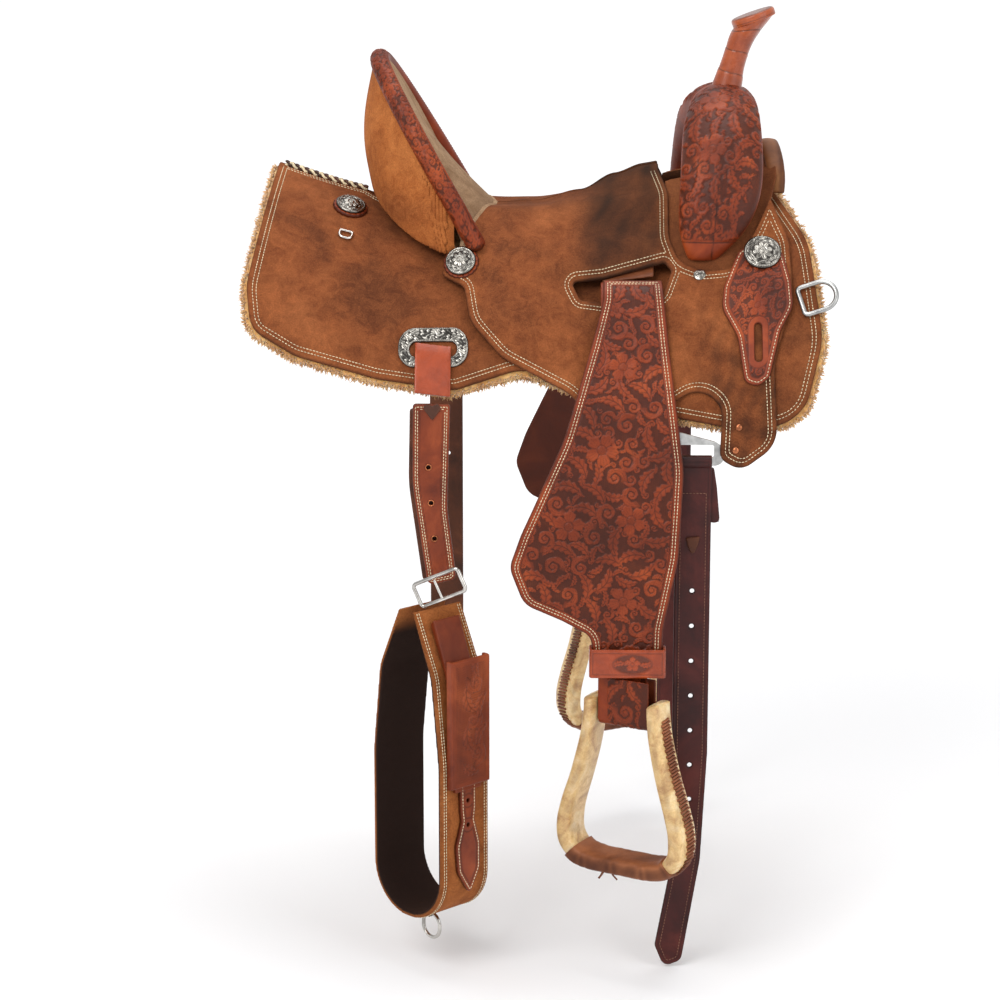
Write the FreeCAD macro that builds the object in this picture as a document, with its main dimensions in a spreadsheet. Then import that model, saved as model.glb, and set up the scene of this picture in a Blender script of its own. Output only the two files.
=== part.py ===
import FreeCAD, Part
import math
import os

from FreeCAD import Placement, Rotation, Vector

# Western saddle. Frame: +X towards the horn, +Y the horse's left (near) side, +Z up.
# The origin lies on the spine line at mid length, where the saddle rests on a rack's ridge.
# The off (right) side lies at negative Y.

DIMENSIONS = {
    # the curved side that skirts, bars and jockeys follow: a torus round a high cross axis
    "rocker_height": 905, "side_radius": 370, "ridge_angle": 15, "ridge_rise": 5,
    # leather and padding, as heights above the skirt's middle surface
    "fleece_under": -17, "fleece_over": -3.3, "skirt_under": -3, "skirt_over": 3,
    "bar_under": 3.3, "bar_over": 13.3, "loop_under": 14.3, "loop_over": 17.9,
    "seat_thick": 4.6, "ground_seat_thick": 2.6, "layer_gap": 0.3,
    "half_reach": 400,
    # tree
    "cover_thick": 4.3, "horn_core_radius": 7, "horn_core_length": 80, "cap_room": 20,
    "cap_radius": 28, "cap_thick": 10, "cap_lean": 19.5, "cap_x": 280.5, "cap_z": 248.5,
    # cantle
    "rim_x": -203, "rim_z": 196, "rim_run": 124, "rim_drop": 214, "rim_half": 140, "cantle_bulge": -14,
    "cantle_leather": 3.6, "cantle_core": 9, "rim_roll": 9.5,
    # hanging leathers of one side
    "hang_y": -297, "leather_thick": 3.4, "fender_thick": 4.2, "leather_half": 38,
    "leather_mid_x": 119, "fender_bottom": -523,
    "keeper_top": -492, "keeper_height": 36, "keeper_half": 47, "keeper_thick": 3.4,
    "bolt_z": -582, "bolt_radius": 4.8, "sleeve_radius": 8, "turn_angle": -30,
    "stirrup_depth": 46, "stirrup_room": 46.6, "tread_depth": 54, "tread_thick": 2.4,
    "bolt_length": 104, "roller_length": 66,
    # billets and the flank cinch
    "plate_y": -266.3, "plate_thick": 2.8, "billet_thick": 4.4, "billet_width": 44, "hole_radius": 3,
    "bar_eye": 5.6, "billet_reach": 700, "sleeve_bore": 56, "tab_thick": 3, "tab_width": 12,
    "tongue_reach": 24,
    "rear_billet_y": -252, "rear_billet_thick": 7, "cinch_turn": -45, "cinch_x": -125, "cinch_y": -258,
    "cinch_width": 80, "lower_billet_width": 44, "sleeve_width": 64,
    # hardware
    "concho_radius": 19, "concho_height": 5, "concho_dome": 12, "rosette_rim": 3, "front_extra": 4,
    "screw_radius": 7.5, "dee_wire": 3.1, "small_wire": 1.6,
    "ring_wire": 2.4, "rivet_radius": 4, "rivet_height": 2.4, "rosette_thick": 3.2, "lace_radius": 4.2,
}

doc = FreeCAD.newDocument("western_saddle")
sheet = doc.addObject("Spreadsheet::Sheet", "dimensions")
for row, (alias, value) in enumerate(DIMENSIONS.items(), start=1):
    sheet.set(f"A{row}", alias)
    sheet.set(f"B{row}", str(value))
    sheet.setAlias(f"B{row}", alias)
doc.recompute()

NODES = []
RIGHT, LEFT = "_right", "_left"
SIDES = {"XY": Rotation(), "XZ": Rotation(Vector(1, 0, 0), 90), "YZ": Rotation(Vector(1, 1, 1), 120)}


def size(alias):
    """The sheet's value for an alias."""
    return float(sheet.get(alias))


GAP = size("layer_gap")


def bind(thing, **properties):
    """Bind properties of an object to formulas of the sheet's aliases."""
    for name, alias in properties.items():
        words = [f"dimensions.{word}" if word in DIMENSIONS else word for word in alias.split()]
        thing.setExpression(name, " ".join(words))
    return thing


def node(thing, name):
    """Name an object as a sub-part of its own."""
    thing.Label = name
    NODES.append(thing)
    return thing


def free_form(name, shape):
    """An object for a shape that no primitive makes."""
    thing = doc.addObject("Part::Feature", name)
    thing.Shape = shape
    return thing


def mirrored(thing, name):
    """The same sub-part on the near side."""
    twin = doc.addObject("Part::Mirroring", name)
    twin.Source = thing
    twin.Normal = Vector(0, 1, 0)
    return node(twin, name)


def pair(thing, name):
    """Two sub-parts, one on each side."""
    return node(thing, name + RIGHT), mirrored(thing, name + LEFT)


def minus(name, base, *tools):
    """The base without each tool."""
    for count, tool in enumerate(tools):
        cut = doc.addObject("Part::Cut", f"{name}_cut{count}")
        cut.Base, cut.Tool = base, tool
        base = cut
    return base


def both(name, first, second):
    """What two objects share."""
    common = doc.addObject("Part::Common", name)
    common.Base, common.Tool = first, second
    return common


def group(name, members):
    """Separate solids that share one node."""
    compound = doc.addObject("Part::Compound", name)
    compound.Links = members
    return compound


# ---------------------------------------------------------------- outlines

def outline_edges(corners):
    """Straight runs joined by tangent arcs through (u, v, radius) corners."""
    count = len(corners)
    trims = []
    for i in range(count):
        here = Vector(corners[i][0], corners[i][1], 0)
        back = (Vector(*corners[i - 1][:2], 0) - here).normalize()
        ahead = (Vector(*corners[(i + 1) % count][:2], 0) - here).normalize()
        half = back.getAngle(ahead) / 2
        radius = corners[i][2]
        if radius <= 0 or half > math.radians(89.5):
            trims.append((here, here, here))
            continue
        length = radius / math.tan(half)
        middle = here + (back + ahead).normalize() * (radius / math.sin(half) - radius)
        trims.append((here + back * length, middle, here + ahead * length))
    edges = []
    for i in range(count):
        start, middle, end = trims[i]
        if start.distanceToPoint(end) > 1e-6:
            edges.append(Part.Arc(start, middle, end))
        after = trims[(i + 1) % count][0]
        if end.distanceToPoint(after) > 1e-6:
            edges.append(Part.LineSegment(end, after))
    return edges


def oval(u, v, half_u, half_v, radius=None):
    """Corners of a rounded slot or plate about a centre."""
    radius = min(half_u, half_v) * 0.98 if radius is None else radius
    return [(u - half_u, v - half_v, radius), (u + half_u, v - half_v, radius),
            (u + half_u, v + half_v, radius), (u - half_u, v + half_v, radius)]


def prism(name, view, corners, start, reach):
    """A closed outline in the XZ, YZ or XY view, pushed through from start by the alias reach."""
    sketch = doc.addObject("Sketcher::SketchObject", name + "_outline")
    sketch.Placement = Placement(SIDES[view].multVec(Vector(0, 0, start)), SIDES[view])
    sketch.addGeometry(outline_edges(corners), False)
    solid = doc.addObject("Part::Extrusion", name + "_prism")
    solid.Base, solid.DirMode, solid.Solid = sketch, "Normal", True
    return bind(solid, LengthFwd=reach)


def side_prism(name, corners):
    """A side outline pushed from the spine plane out past the off side."""
    return prism(name, "XZ", corners, 0, "half_reach")


# ---------------------------------------------------------------- the saddle's side surface

RIDGE = math.radians(size("ridge_angle"))
CENTRE_Y = size("side_radius") * math.sin(RIDGE)
CENTRE_Z = size("ridge_rise") - size("side_radius") * math.cos(RIDGE)


def side_point(x, angle, height, side=-1):
    """A point of the side: angle from the vertical in degrees, height above the skirt's middle."""
    radius = size("side_radius") + height
    turn = math.radians(angle)
    y = radius * math.sin(turn) - CENTRE_Y
    reach = size("rocker_height") - CENTRE_Z - radius * math.cos(turn)
    return Vector(x, side * y, size("rocker_height") - math.sqrt(reach ** 2 - x ** 2))


def side_angle(y, height=0):
    """The angle of the side at a distance y from the spine plane."""
    return math.degrees(math.asin((CENTRE_Y + y) / (size("side_radius") + height)))


def side_torus(name, height):
    """The off side's torus at a height above the skirt's middle surface."""
    torus = doc.addObject("Part::Torus", name)
    torus.Placement = Placement(Vector(0, CENTRE_Y, size("rocker_height")), Rotation(Vector(1, 0, 0), 90))
    torus.Radius1 = size("rocker_height") - CENTRE_Z
    return bind(torus, Radius2=f"side_radius + {height}")


def side_shell(name, outline, under, over):
    """The part of the side between two heights that lies inside a side outline."""
    outside = both(name + "_over", outline, side_torus(name + "_outer", over))
    return minus(name, outside, side_torus(name + "_inner", under))


def blend(value, stops):
    """A smooth run through (place, amount) stops."""
    if value <= stops[0][0]:
        return stops[0][1]
    for (low, first), (high, second) in zip(stops, stops[1:]):
        if value <= high:
            part = (value - low) / (high - low)
            return first + (second - first) * (1 - math.cos(math.pi * part)) / 2
    return stops[-1][1]


SEAT_RIDGE = [(-45, 12), (0, 15), (60, 27), (105, 44), (140, 51)]
EDGE_HEIGHT = 8.6


def seat_height(x, angle):
    """Height of the seat leather's face above the skirt's middle surface."""
    ridge = blend(x, SEAT_RIDGE)
    profile = [(15, ridge), (24, 30 + 0.35 * (ridge - 12)), (34, 30 + 0.1 * (ridge - 12)),
               (46, 20), (62, EDGE_HEIGHT)]
    height = blend(angle, profile)
    ends = min(blend(x, [(-115, 0.3), (-50, 1)]), blend(x, [(250, 1), (325, 0.25)]))
    share = blend(angle, [(34, 1), (40, ends)])
    return EDGE_HEIGHT + (height - EDGE_HEIGHT) * share if angle > 34 else height


# ---------------------------------------------------------------- sheets of formed leather

def clamped(count):
    """Multiplicities, knots and degree of a curve on count poles that reaches its end poles."""
    degree = min(3, count - 1)
    inner = count - degree - 1
    return [degree + 1] + [1] * inner + [degree + 1], list(range(inner + 2)), degree


def surface(grid):
    """A smooth face that follows a grid of poles without waves."""
    row_mults, row_knots, row_degree = clamped(len(grid))
    line_mults, line_knots, line_degree = clamped(len(grid[0]))
    face = Part.BSplineSurface()
    face.buildFromPolesMultsKnots(grid, row_mults, line_mults, row_knots, line_knots, False, False,
                                  row_degree, line_degree)
    return face


def between(over, under):
    """A solid between two matching grids of points."""
    faces = [surface(over).toShape(), surface(under).toShape()]
    for first, second in zip(faces[0].Edges, faces[1].Edges):
        faces.append(Part.makeRuledSurface(first, second))
    shell = Part.makeShell(faces)
    shell.sewShape(0.01)
    solid = Part.makeSolid(shell)
    if solid.Volume < 0:
        solid.reverse()
    return solid


def steps(start, end, count):
    """Evenly spaced values, both ends included."""
    return [start + (end - start) * i / (count - 1) for i in range(count)]


def seat_patch(xs, angles, over, under, side=-1):
    """A piece of the seat leather's side between two lifts from its face."""
    grids = []
    for lift in (over, under):
        grids.append([[side_point(x, a, seat_height(x, a) + lift, side) for a in angles] for x in xs])
    return between(*grids)


def seat_rear(y):
    """Where the seat leather ends behind, for a distance from the spine plane."""
    return blend(y, [(0, -48), (125, -86), (146, -116)])


def seat_sheet(over, under, front, widest):
    """The seat leather, or a layer under it, over both sides."""
    angles = [-a for a in reversed(SEAT_ANGLES) if a <= widest] + [a for a in SEAT_ANGLES[1:] if a <= widest]
    grids = []
    for lift in (over, under):
        grid = []
        for part in steps(0, 1, 19):
            line = []
            for angle in angles:
                side = -1 if angle < 0 else 1
                y = abs(side_point(0, abs(angle), 0).y)
                x = seat_rear(y) + (front - seat_rear(y)) * part
                line.append(side_point(x, abs(angle), seat_height(x, abs(angle)) + lift, side))
            grid.append(line)
        grids.append(grid)
    return between(*grids)


SEAT_ANGLES = [15] + steps(18, 82, 17)

# ---------------------------------------------------------------- skirts, fleece and bars

SKIRT = [(-322, 90, 30), (-352, -60, 60), (-345, -110, 35), (-290, -142, 60), (-190, -170, 80),
         (-95, -184, 40), (-10, -158, 60), (120, -205, 80), (240, -225, 60), (330, -222, 55),
         (356, -120, 90), (342, -10, 60), (290, 60, 20), (250, 140, 0), (-250, 140, 0)]
CHANNEL = [(-400, -2, 0), (-215, -2, 20), (-150, -46, 30), (250, -46, 60), (420, -76, 0),
           (420, 76, 0), (250, 46, 60), (-150, 46, 30), (-215, 2, 20), (-400, 2, 0)]


def grown(corners, distance):
    """Side outline corners pushed away from the outline's middle."""
    middle = Vector(0, -60, 0)
    moved = []
    for u, v, radius in corners:
        away = Vector(u, v, 0) - middle
        place = middle + away * (1 + distance / max(away.Length, 1))
        moved.append((place.x, place.y, radius))
    return moved


def channel(name):
    """The open channel along the spine, seen from above."""
    return prism(name, "XY", CHANNEL, -size("half_reach"), "half_reach * 2")


skirt = side_shell("skirt", side_prism("skirt", SKIRT), "skirt_under", "skirt_over")
pair(minus("skirt_body", skirt, channel("skirt_channel")), "skirt")
fleece = side_shell("fleece", side_prism("fleece", grown(SKIRT, 6)), "fleece_under", "fleece_over")
pair(minus("fleece_body", fleece, channel("fleece_channel")), "fleece")

BAR = [(-168, -46, 8), (-152, -76, 20), (-92, -114, 40), (-40, -131, 60), (250, -131, 20), (250, -46, 20)]
bar_block = prism("bar", "XY", BAR, -size("half_reach") / 2, "half_reach")
pair(side_shell("bar", bar_block, "bar_under", "bar_over"), "tree_bar")

# ---------------------------------------------------------------- seat leather and ground seat

FORK_CUT = [(160, 400, 0), (160, 64, 8), (171, 40, 30), (170, -8, 26), (182, -36, 24), (212, -46, 28),
            (250, -42, 28), (276, 0, 40), (296, 42, 0), (340, 60, 0), (340, 400, 0)]
JOCKEY = [(-116, -30, 10), (-112, -54, 10), (-84, -66, 10), (-76, -104, 40), (-36, -146, 60), (50, -188, 60),
          (86, -236, 30), (128, -240, 25), (158, -205, 25), (206, -176, 30), (233, -200, 25), (230, -262, 14),
          (256, -276, 22), (300, -244, 40), (296, -150, 80), (320, -70, 40), (318, -10, 40), (296, 40, 0),
          (296, 400, 0), (-116, 400, 0)]
SLOT = [(48, -60, 5), (60, -81, 7), (92, -84, 10), (160, -76, 9), (173, -46, 6), (164, -36, 5), (88, -56, 10)]


def through_prism(name, corners):
    """A side outline pushed through both sides."""
    return prism(name, "XZ", corners, -size("half_reach"), "half_reach * 2")


seat_blank = free_form("seat_blank", seat_sheet(0, -size("seat_thick"), 330, 82))
seat = both("seat_trimmed", seat_blank, through_prism("seat", JOCKEY))
seat = minus("seat", seat, through_prism("fork_cut", FORK_CUT), through_prism("fender_slot", SLOT))
node(seat, "seat_leather")

under_seat = -size("seat_thick") - 8 * GAP
ground = seat_sheet(under_seat, under_seat - size("ground_seat_thick"), 150, 34)
node(free_form("ground_seat", ground), "ground_seat")

# ---------------------------------------------------------------- fork, horn and gullet lip

# (y, z, middle x, half length, half thickness) of the fork from the off tip to the top
FORK = [(-157, -34, 211, 17, 9), (-159, 0, 222, 39, 17), (-143, 50, 233, 50, 25),
        (-112, 96, 236, 50, 29), (-62, 130, 239, 46, 31), (0, 141, 243, 40, 28)]


def ellipse_wire(centre, normal, half_x, half_out):
    """An ellipse across a path that lies in the YZ plane or leans along X."""
    long_way = Vector(1, 0, 0) - normal * normal.x
    turn = Rotation(long_way.normalize(), Vector(0, 0, 0), normal, "ZXY")
    curve = Part.Ellipse(Vector(0, 0, 0), max(half_x, half_out), min(half_x, half_out))
    wire = Part.Wire([curve.toShape()])
    if half_out > half_x:
        wire.rotate(Vector(0, 0, 0), Vector(0, 0, 1), 90)
    wire.Placement = Placement(centre, turn).multiply(wire.Placement)
    return wire


def arch(stations, less):
    """A smooth arch through stations of the off side and their twins, made thinner by less."""
    whole = stations + [(-y, z, x, long, thick) for y, z, x, long, thick in reversed(stations[:-1])]
    places = [Vector(x, y, z) for y, z, x, long, thick in whole]
    wires = []
    for i, (y, z, x, long, thick) in enumerate(whole):
        along = places[min(i + 1, len(places) - 1)] - places[max(i - 1, 0)]
        along.x = 0
        wires.append(ellipse_wire(places[i], along.normalize(), long - less, thick - less))
    return Part.makeLoft(wires, True, False)


def below_fork(name):
    """The space under both sides' bar tops, which the fork stands on."""
    off = side_torus(name + "_off", "bar_over + layer_gap")
    near = side_torus(name + "_near", "bar_over + layer_gap")
    near.Placement = Placement(Vector(0, -CENTRE_Y, size("rocker_height")), Rotation(Vector(1, 0, 0), 90))
    return both(name, off, near)


COVER = size("cover_thick")
cover = free_form("fork_hull", arch(FORK, 0))
hollow = free_form("fork_hollow", arch(FORK, COVER))
core = free_form("fork_wood", arch(FORK, COVER + GAP))
tree_fork = minus("tree_fork", core, below_fork("fork_seat"))

# (z, middle x, half length) of the horn's neck
NECK = [(150, 243, 21), (176, 248, 17), (200, 255, 13.5), (220, 263, 13.5), (238, 272, 17)]
neck_wires = [ellipse_wire(Vector(x, 0, z), Vector(0, 0, 1), half, half) for z, x, half in NECK]
neck_hull = free_form("neck_hull", Part.makeLoft(neck_wires, True, False))

cap = doc.addObject("Part::Cylinder", "cap_disc")
cap_turn = Rotation(Vector(0, 1, 0), -size("cap_lean"))
cap.Placement = Placement(Vector(size("cap_x"), 0, size("cap_z")), cap_turn)
bind(cap, Radius="cap_radius", Height="cap_thick")
horn_cap = doc.addObject("Part::Fillet", "horn_cap")
horn_cap.Base = cap
horn_cap.Edges = [(1, 3.5, 3.5), (3, 3.5, 3.5)]

rod = doc.addObject("Part::Cylinder", "horn_rod")
rod_turn = Rotation(Vector(0, 0, 1), Vector(NECK[-2][1] - NECK[0][1], 0, NECK[-2][0] - NECK[0][0]))
rod.Placement = Placement(Vector(NECK[0][1], 0, NECK[0][0]), rod_turn)
bind(rod, Radius="horn_core_radius", Height="horn_core_length")

doc.recompute()
fork_cover = minus("fork_cover", cover, hollow, below_fork("cover_seat"))
bore = doc.addObject("Part::Cylinder", "rod_bore")
bore.Placement = rod.Placement
bind(bore, Radius="horn_core_radius + layer_gap", Height="horn_core_length + layer_gap")
node(minus("tree_fork_bored", tree_fork, bore), "tree_fork")
node(minus("fork_cover_bored", fork_cover, bore), "fork_cover")
cap_room = doc.addObject("Part::Cylinder", "cap_room")
cap_room.Placement = cap.Placement
bind(cap_room, Radius="cap_radius + cap_room", Height="cap_thick + cap_room")
fork_room = free_form("fork_room", arch(FORK, -GAP))
node(minus("horn_neck", neck_hull, bore, fork_room, cap_room), "horn_neck_wrap")
node(rod, "horn_core")
node(horn_cap, "horn_cap")

# (y, z, middle x, half length, half thickness) of the lip in front of the gullet
LIP = [(-86, 40, 307, 9, 4), (-78, 62, 306, 11, 5), (-50, 84, 303, 12, 5), (0, 94, 301, 12, 5)]
node(free_form("lip", arch(LIP, 0)), "gullet_lip")

# ---------------------------------------------------------------- cantle

RIM_TILT = Vector(size("rim_drop"), 0, size("rim_run")).normalize()


def rim(turn, lift=0.0):
    """The cantle's rim: turn in degrees from the top, lift forward and up from its back."""
    drop = 1 - math.cos(math.radians(turn))
    side = math.sin(math.radians(turn))
    place = Vector(size("rim_x") + size("rim_run") * drop, size("rim_half") * side,
                   size("rim_z") - size("rim_drop") * drop)
    return place + RIM_TILT * lift


def cantle_foot(turn, lift=0.0):
    """Where the cantle's back meets the bars."""
    drop = 1 - math.cos(math.radians(turn))
    side = math.sin(math.radians(turn))
    y = 124 * abs(side)
    place = side_point(-206 + 122 * drop, side_angle(y), 19, -1 if side < 0 else 1)
    return place + Vector(1, 0, 0) * lift


def seat_edge(turn):
    """The curve where the cantle's face runs into the seat."""
    y = 112 * math.sin(math.radians(turn))
    x = seat_rear(abs(y)) - 1.0
    angle = side_angle(abs(y))
    return side_point(x, angle, seat_height(x, angle), -1 if y < 0 else 1)


SHEET_TURN, ROLL_TURN = 78, 83
ROLL_ROOM = 5


def cantle_sheet(low, lift, thickness):
    """A sheet from a low curve up to the rim, bulged along the rim's tilt."""
    grids = []
    for depth in (lift, lift + thickness):
        grid = []
        for turn in steps(-SHEET_TURN, SHEET_TURN, 21):
            foot, top = low(turn, depth), rim(turn, depth)
            bulge = size("cantle_bulge") * math.cos(math.radians(turn))
            line = []
            for share in steps(0, 1 - ROLL_ROOM / (top - foot).Length, 9):
                line.append(foot + (top - foot) * share + RIM_TILT * (bulge * math.sin(math.pi * share)))
            grid.append(line)
        grids.append(grid)
    return between(*grids)


CANTLE_LEATHER, WOOD = size("cantle_leather"), size("cantle_core")
WOOD_LIFT = CANTLE_LEATHER + GAP
FACE_LIFT = WOOD_LIFT + WOOD + GAP


def face_foot(turn, depth):
    """The face's lower curve, just behind the seat leather's edge."""
    return seat_edge(turn) + RIM_TILT * (depth - FACE_LIFT - CANTLE_LEATHER - 2 * GAP)


def rim_pipe(name, radius):
    """A round roll along the cantle's rim."""
    path = Part.BSplineCurve()
    middle = (FACE_LIFT + CANTLE_LEATHER) / 2
    path.interpolate([rim(turn, middle) for turn in steps(-ROLL_TURN, ROLL_TURN, 13)])
    start = path.value(path.FirstParameter)
    way = Vector(*path.tangent(path.FirstParameter)[0])
    ring = Part.Wire([Part.makeCircle(radius, start, way)])
    return free_form(name, Part.Wire([path.toShape()]).makePipeShell([ring], True, False))


roll_space = rim_pipe("roll_space", size("rim_roll") + GAP)
for label, low, lift, thickness in (("cantle_back", cantle_foot, 0, CANTLE_LEATHER),
                                    ("tree_cantle", cantle_foot, WOOD_LIFT, WOOD),
                                    ("cantle_face", face_foot, FACE_LIFT, CANTLE_LEATHER)):
    cantle_part = free_form(label + "_sheet", cantle_sheet(low, lift, thickness))
    node(minus(label, cantle_part, roll_space), label)
node(rim_pipe("rim_roll", size("rim_roll")), "cantle_binding")


# ---------------------------------------------------------------- rosettes, conchos and small fastenings

def skirt_face(x, angle):
    """Height of the skirt's face above its middle surface."""
    return size("skirt_over")


FACE_SPAN, FACE_TURN = 14, 2.5


def on_face(height, x, angle, lift):
    """A placement on a face of the off side, its X axis along the saddle and its Z axis outwards."""
    places = [(x, angle), (x - FACE_SPAN, angle), (x + FACE_SPAN, angle),
              (x, angle - FACE_TURN), (x, angle + FACE_TURN)]
    here, before, ahead, above, below = [side_point(u, a, height(u, a)) for u, a in places]
    along = (ahead - before).normalize()
    turn = Rotation(along, Vector(0, 0, 0), along.cross(above - below).normalize(), "ZXY")
    return Placement(here, turn).multiply(Placement(Vector(0, 0, lift), Rotation()))


def on_seat(x, angle, lift):
    """A placement on the seat leather's face."""
    return on_face(seat_height, x, angle, lift)


def on_skirt(x, angle, lift):
    """A placement on the skirt's face."""
    return on_face(skirt_face, x, angle, lift)


def disc(name, place, radius, tall, top=None):
    """A disc or a low dome: a cylinder, or a cone where the top's radius is given."""
    if top is None:
        thing = doc.addObject("Part::Cylinder", name)
        bind(thing, Radius=radius, Height=tall)
    else:
        thing = doc.addObject("Part::Cone", name)
        bind(thing, Radius1=radius, Radius2=top, Height=tall)
    thing.Placement = place
    return thing


ROSETTE = size("rosette_thick")
SEAT_CONCHO = (-88, 38.2)
REAR_CONCHO = (-232, 24.6)
FRONT_CONCHO = (284, 43)
SHIELD = [(257, -20, 16), (236, -64, 14), (233, -88, 24), (252, -120, 30), (260, -172, 10), (276, -176, 12),
          (290, -166, 10), (304, -112, 30), (320, -84, 24), (318, -56, 14), (308, -20, 16)]
SHIELD_SLOT = oval(277, -126, 4.5, 22)

trim_blank = free_form("trim_blank", seat_sheet(ROSETTE + 2 * GAP, 2 * GAP, 330, 82))
shield = both("shield_trimmed", trim_blank, side_prism("shield", SHIELD))
pair(minus("slotted_rosette", shield, side_prism("shield_slot", SHIELD_SLOT)), "slotted_rosette")

seat_rosette = both("seat_rosette", trim_blank,
                    disc("seat_rosette_round", on_seat(*SEAT_CONCHO, -6), "concho_radius + rosette_rim",
                         "concho_radius"))
rear_rosette_shell = minus("rear_rosette_under",
                           side_torus("rear_rosette_top", "skirt_over + rosette_thick + layer_gap"),
                           side_torus("rear_rosette_low", "skirt_over + layer_gap"))
rear_rosette = both("rear_rosette", rear_rosette_shell,
                    disc("rear_rosette_round", on_skirt(*REAR_CONCHO, -6), "concho_radius + rosette_rim",
                         "concho_radius"))
pair(group("rosettes", [seat_rosette, rear_rosette]), "concho_rosettes")

CONCHO_LIFT = ROSETTE + 2 * GAP + 1.5
SEAT_LIFT, FRONT_LIFT = CONCHO_LIFT + 1.4, CONCHO_LIFT + 1
DOME = ("concho_height", "concho_dome")
conchos = [disc("concho_seat", on_seat(*SEAT_CONCHO, SEAT_LIFT), "concho_radius", *DOME),
           disc("concho_rear", on_skirt(*REAR_CONCHO, CONCHO_LIFT), "concho_radius", *DOME),
           disc("concho_front", on_seat(*FRONT_CONCHO, FRONT_LIFT), "concho_radius + front_extra",
                "concho_height", "concho_dome + front_extra")]
pair(group("conchos", conchos), "conchos")

SCREW = (207, 44.3)
RIVETS = [(253, 74.6), (249, 78.6)]
FASTENER_LIFT = 0.9
fasteners = [disc("screw", on_seat(*SCREW, FASTENER_LIFT), "screw_radius", "rivet_height")]
for i, place in enumerate(RIVETS):
    fasteners.append(disc(f"rivet{i}", on_seat(*place, FASTENER_LIFT), "rivet_radius", "rivet_height"))
pair(group("rivets", fasteners), "rivets")

# ---------------------------------------------------------------- rigging plates

FLANK_PLATE = (-121, 55.4)
plate_middle = side_point(*FLANK_PLATE, 0)
FLANK_RING = oval(plate_middle.x, plate_middle.z, 43, 22, 20)
FLANK_SLOT = oval(plate_middle.x, plate_middle.z - 2, 29, 8.5, 8)
flank = side_shell("flank", side_prism("flank", FLANK_RING), "skirt_over + layer_gap",
                   "skirt_over + layer_gap + plate_thick")
pair(minus("flank_plate", flank, side_prism("flank_slot", FLANK_SLOT)), "flank_plate")

# the front plate hangs out below the jockey's lobe; its lower bar carries a billet
PLATE_Y = size("plate_y")
FRONT_PLATE = [(172, -228, 10), (170, -266, 14), (190, -272, 10), (230, -272, 12), (243, -254, 8),
               (224, -242, 10)]
PLATE_SLOT = oval(199, -254, 24.5, 8, 3)
PLATE_EYE = oval(234, -257, 2.6, 6, 2.5)
PLATE_BAR_Z = -267
plate = prism("front_plate", "XZ", FRONT_PLATE, -PLATE_Y - size("plate_thick") / 2, "plate_thick")
front_plate = minus("front_plate", plate, side_prism("plate_slot", PLATE_SLOT),
                    side_prism("plate_eye", PLATE_EYE))
pair(front_plate, "rigging_plate")

# ---------------------------------------------------------------- swept wire hardware

def wire_ring(name, path, radius, place):
    """Round wire bent along a closed path in its own XY plane."""
    edges = [edge.toShape() for edge in path]
    spine = Part.Wire(Part.__sortEdges__(edges))
    first = spine.OrderedEdges[0]
    start = first.valueAt(first.FirstParameter)
    way = first.tangentAt(first.FirstParameter)
    ring = Part.Wire([Part.makeCircle(radius, start, way)])
    thing = free_form(name, spine.makePipeShell([ring], True, False))
    thing.Placement = place
    return thing


WIRE, SMALL = size("dee_wire"), size("small_wire")
DEE = [(-19, 0, 5), (19, 0, 5), (19, 44, 18.5), (-19, 44, 18.5)]
DEE_PLACE = (331, 54.4)
dee_place = on_skirt(*DEE_PLACE, WIRE + 1.0).multiply(Placement(Vector(), Rotation(Vector(0, 0, 1), -90)))
pair(wire_ring("breast_dee_wire", outline_edges(DEE), WIRE, dee_place), "breast_dee")

STRING_DEE = [(-8, 0, 2.5), (8, 0, 2.5), (8, 13, 6), (-8, 13, 6)]
STRING_PLACE = (-234, 32.6)
string_turn = Placement(Vector(), Rotation(Vector(0, 0, 1), 180))
string_place = on_skirt(*STRING_PLACE, SMALL + 0.8).multiply(string_turn)
pair(wire_ring("string_dee_wire", outline_edges(STRING_DEE), SMALL, string_place), "string_dee")

# ---------------------------------------------------------------- hanging leathers of one side

MID_X = size("leather_mid_x")
HANG_Y = size("hang_y")


def hanging_section(lift, thickness, first_angle, bottom):
    """Side section of a strap: out of the slot, over the jockey, then straight down."""
    points = []
    for angle in (first_angle, first_angle + 3):
        dive = 7 * (first_angle + 3 - angle) / 3
        points.append(side_point(MID_X, angle, seat_height(MID_X, angle) + lift - dive))
    for angle in steps(first_angle + 7, 76, 6):
        points.append(side_point(MID_X, angle, seat_height(MID_X, angle) + lift))
    y = HANG_Y - lift
    for z in (-330, -400, -460, bottom):
        points.append(Vector(MID_X, y + 5 * max(0, (z + 380) / 50), z))
    curves = []
    for depth in (0, thickness):
        moved = []
        for i, place in enumerate(points):
            way = points[min(i + 1, len(points) - 1)] - points[max(i - 1, 0)]
            out = Vector(0, way.z, -way.y).normalize()
            moved.append(Vector(0, place.y, place.z) + out * depth)
        curves.append(moved)
    inner, outer = [Part.BSplineCurve() for _ in curves]
    inner.interpolate(curves[0])
    outer.interpolate(curves[1])
    edges = [inner.toShape(), outer.toShape(), Part.makeLine(curves[0][0], curves[1][0]),
             Part.makeLine(curves[0][-1], curves[1][-1])]
    return Part.Face(Part.Wire(Part.__sortEdges__(edges)))


def hanging(name, section, half):
    """A strap section pushed along X to both sides of the leather's middle."""
    face = section.copy()
    face.translate(Vector(MID_X - half, 0, 0))
    return free_form(name, face.extrude(Vector(2 * half, 0, 0)))


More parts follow.
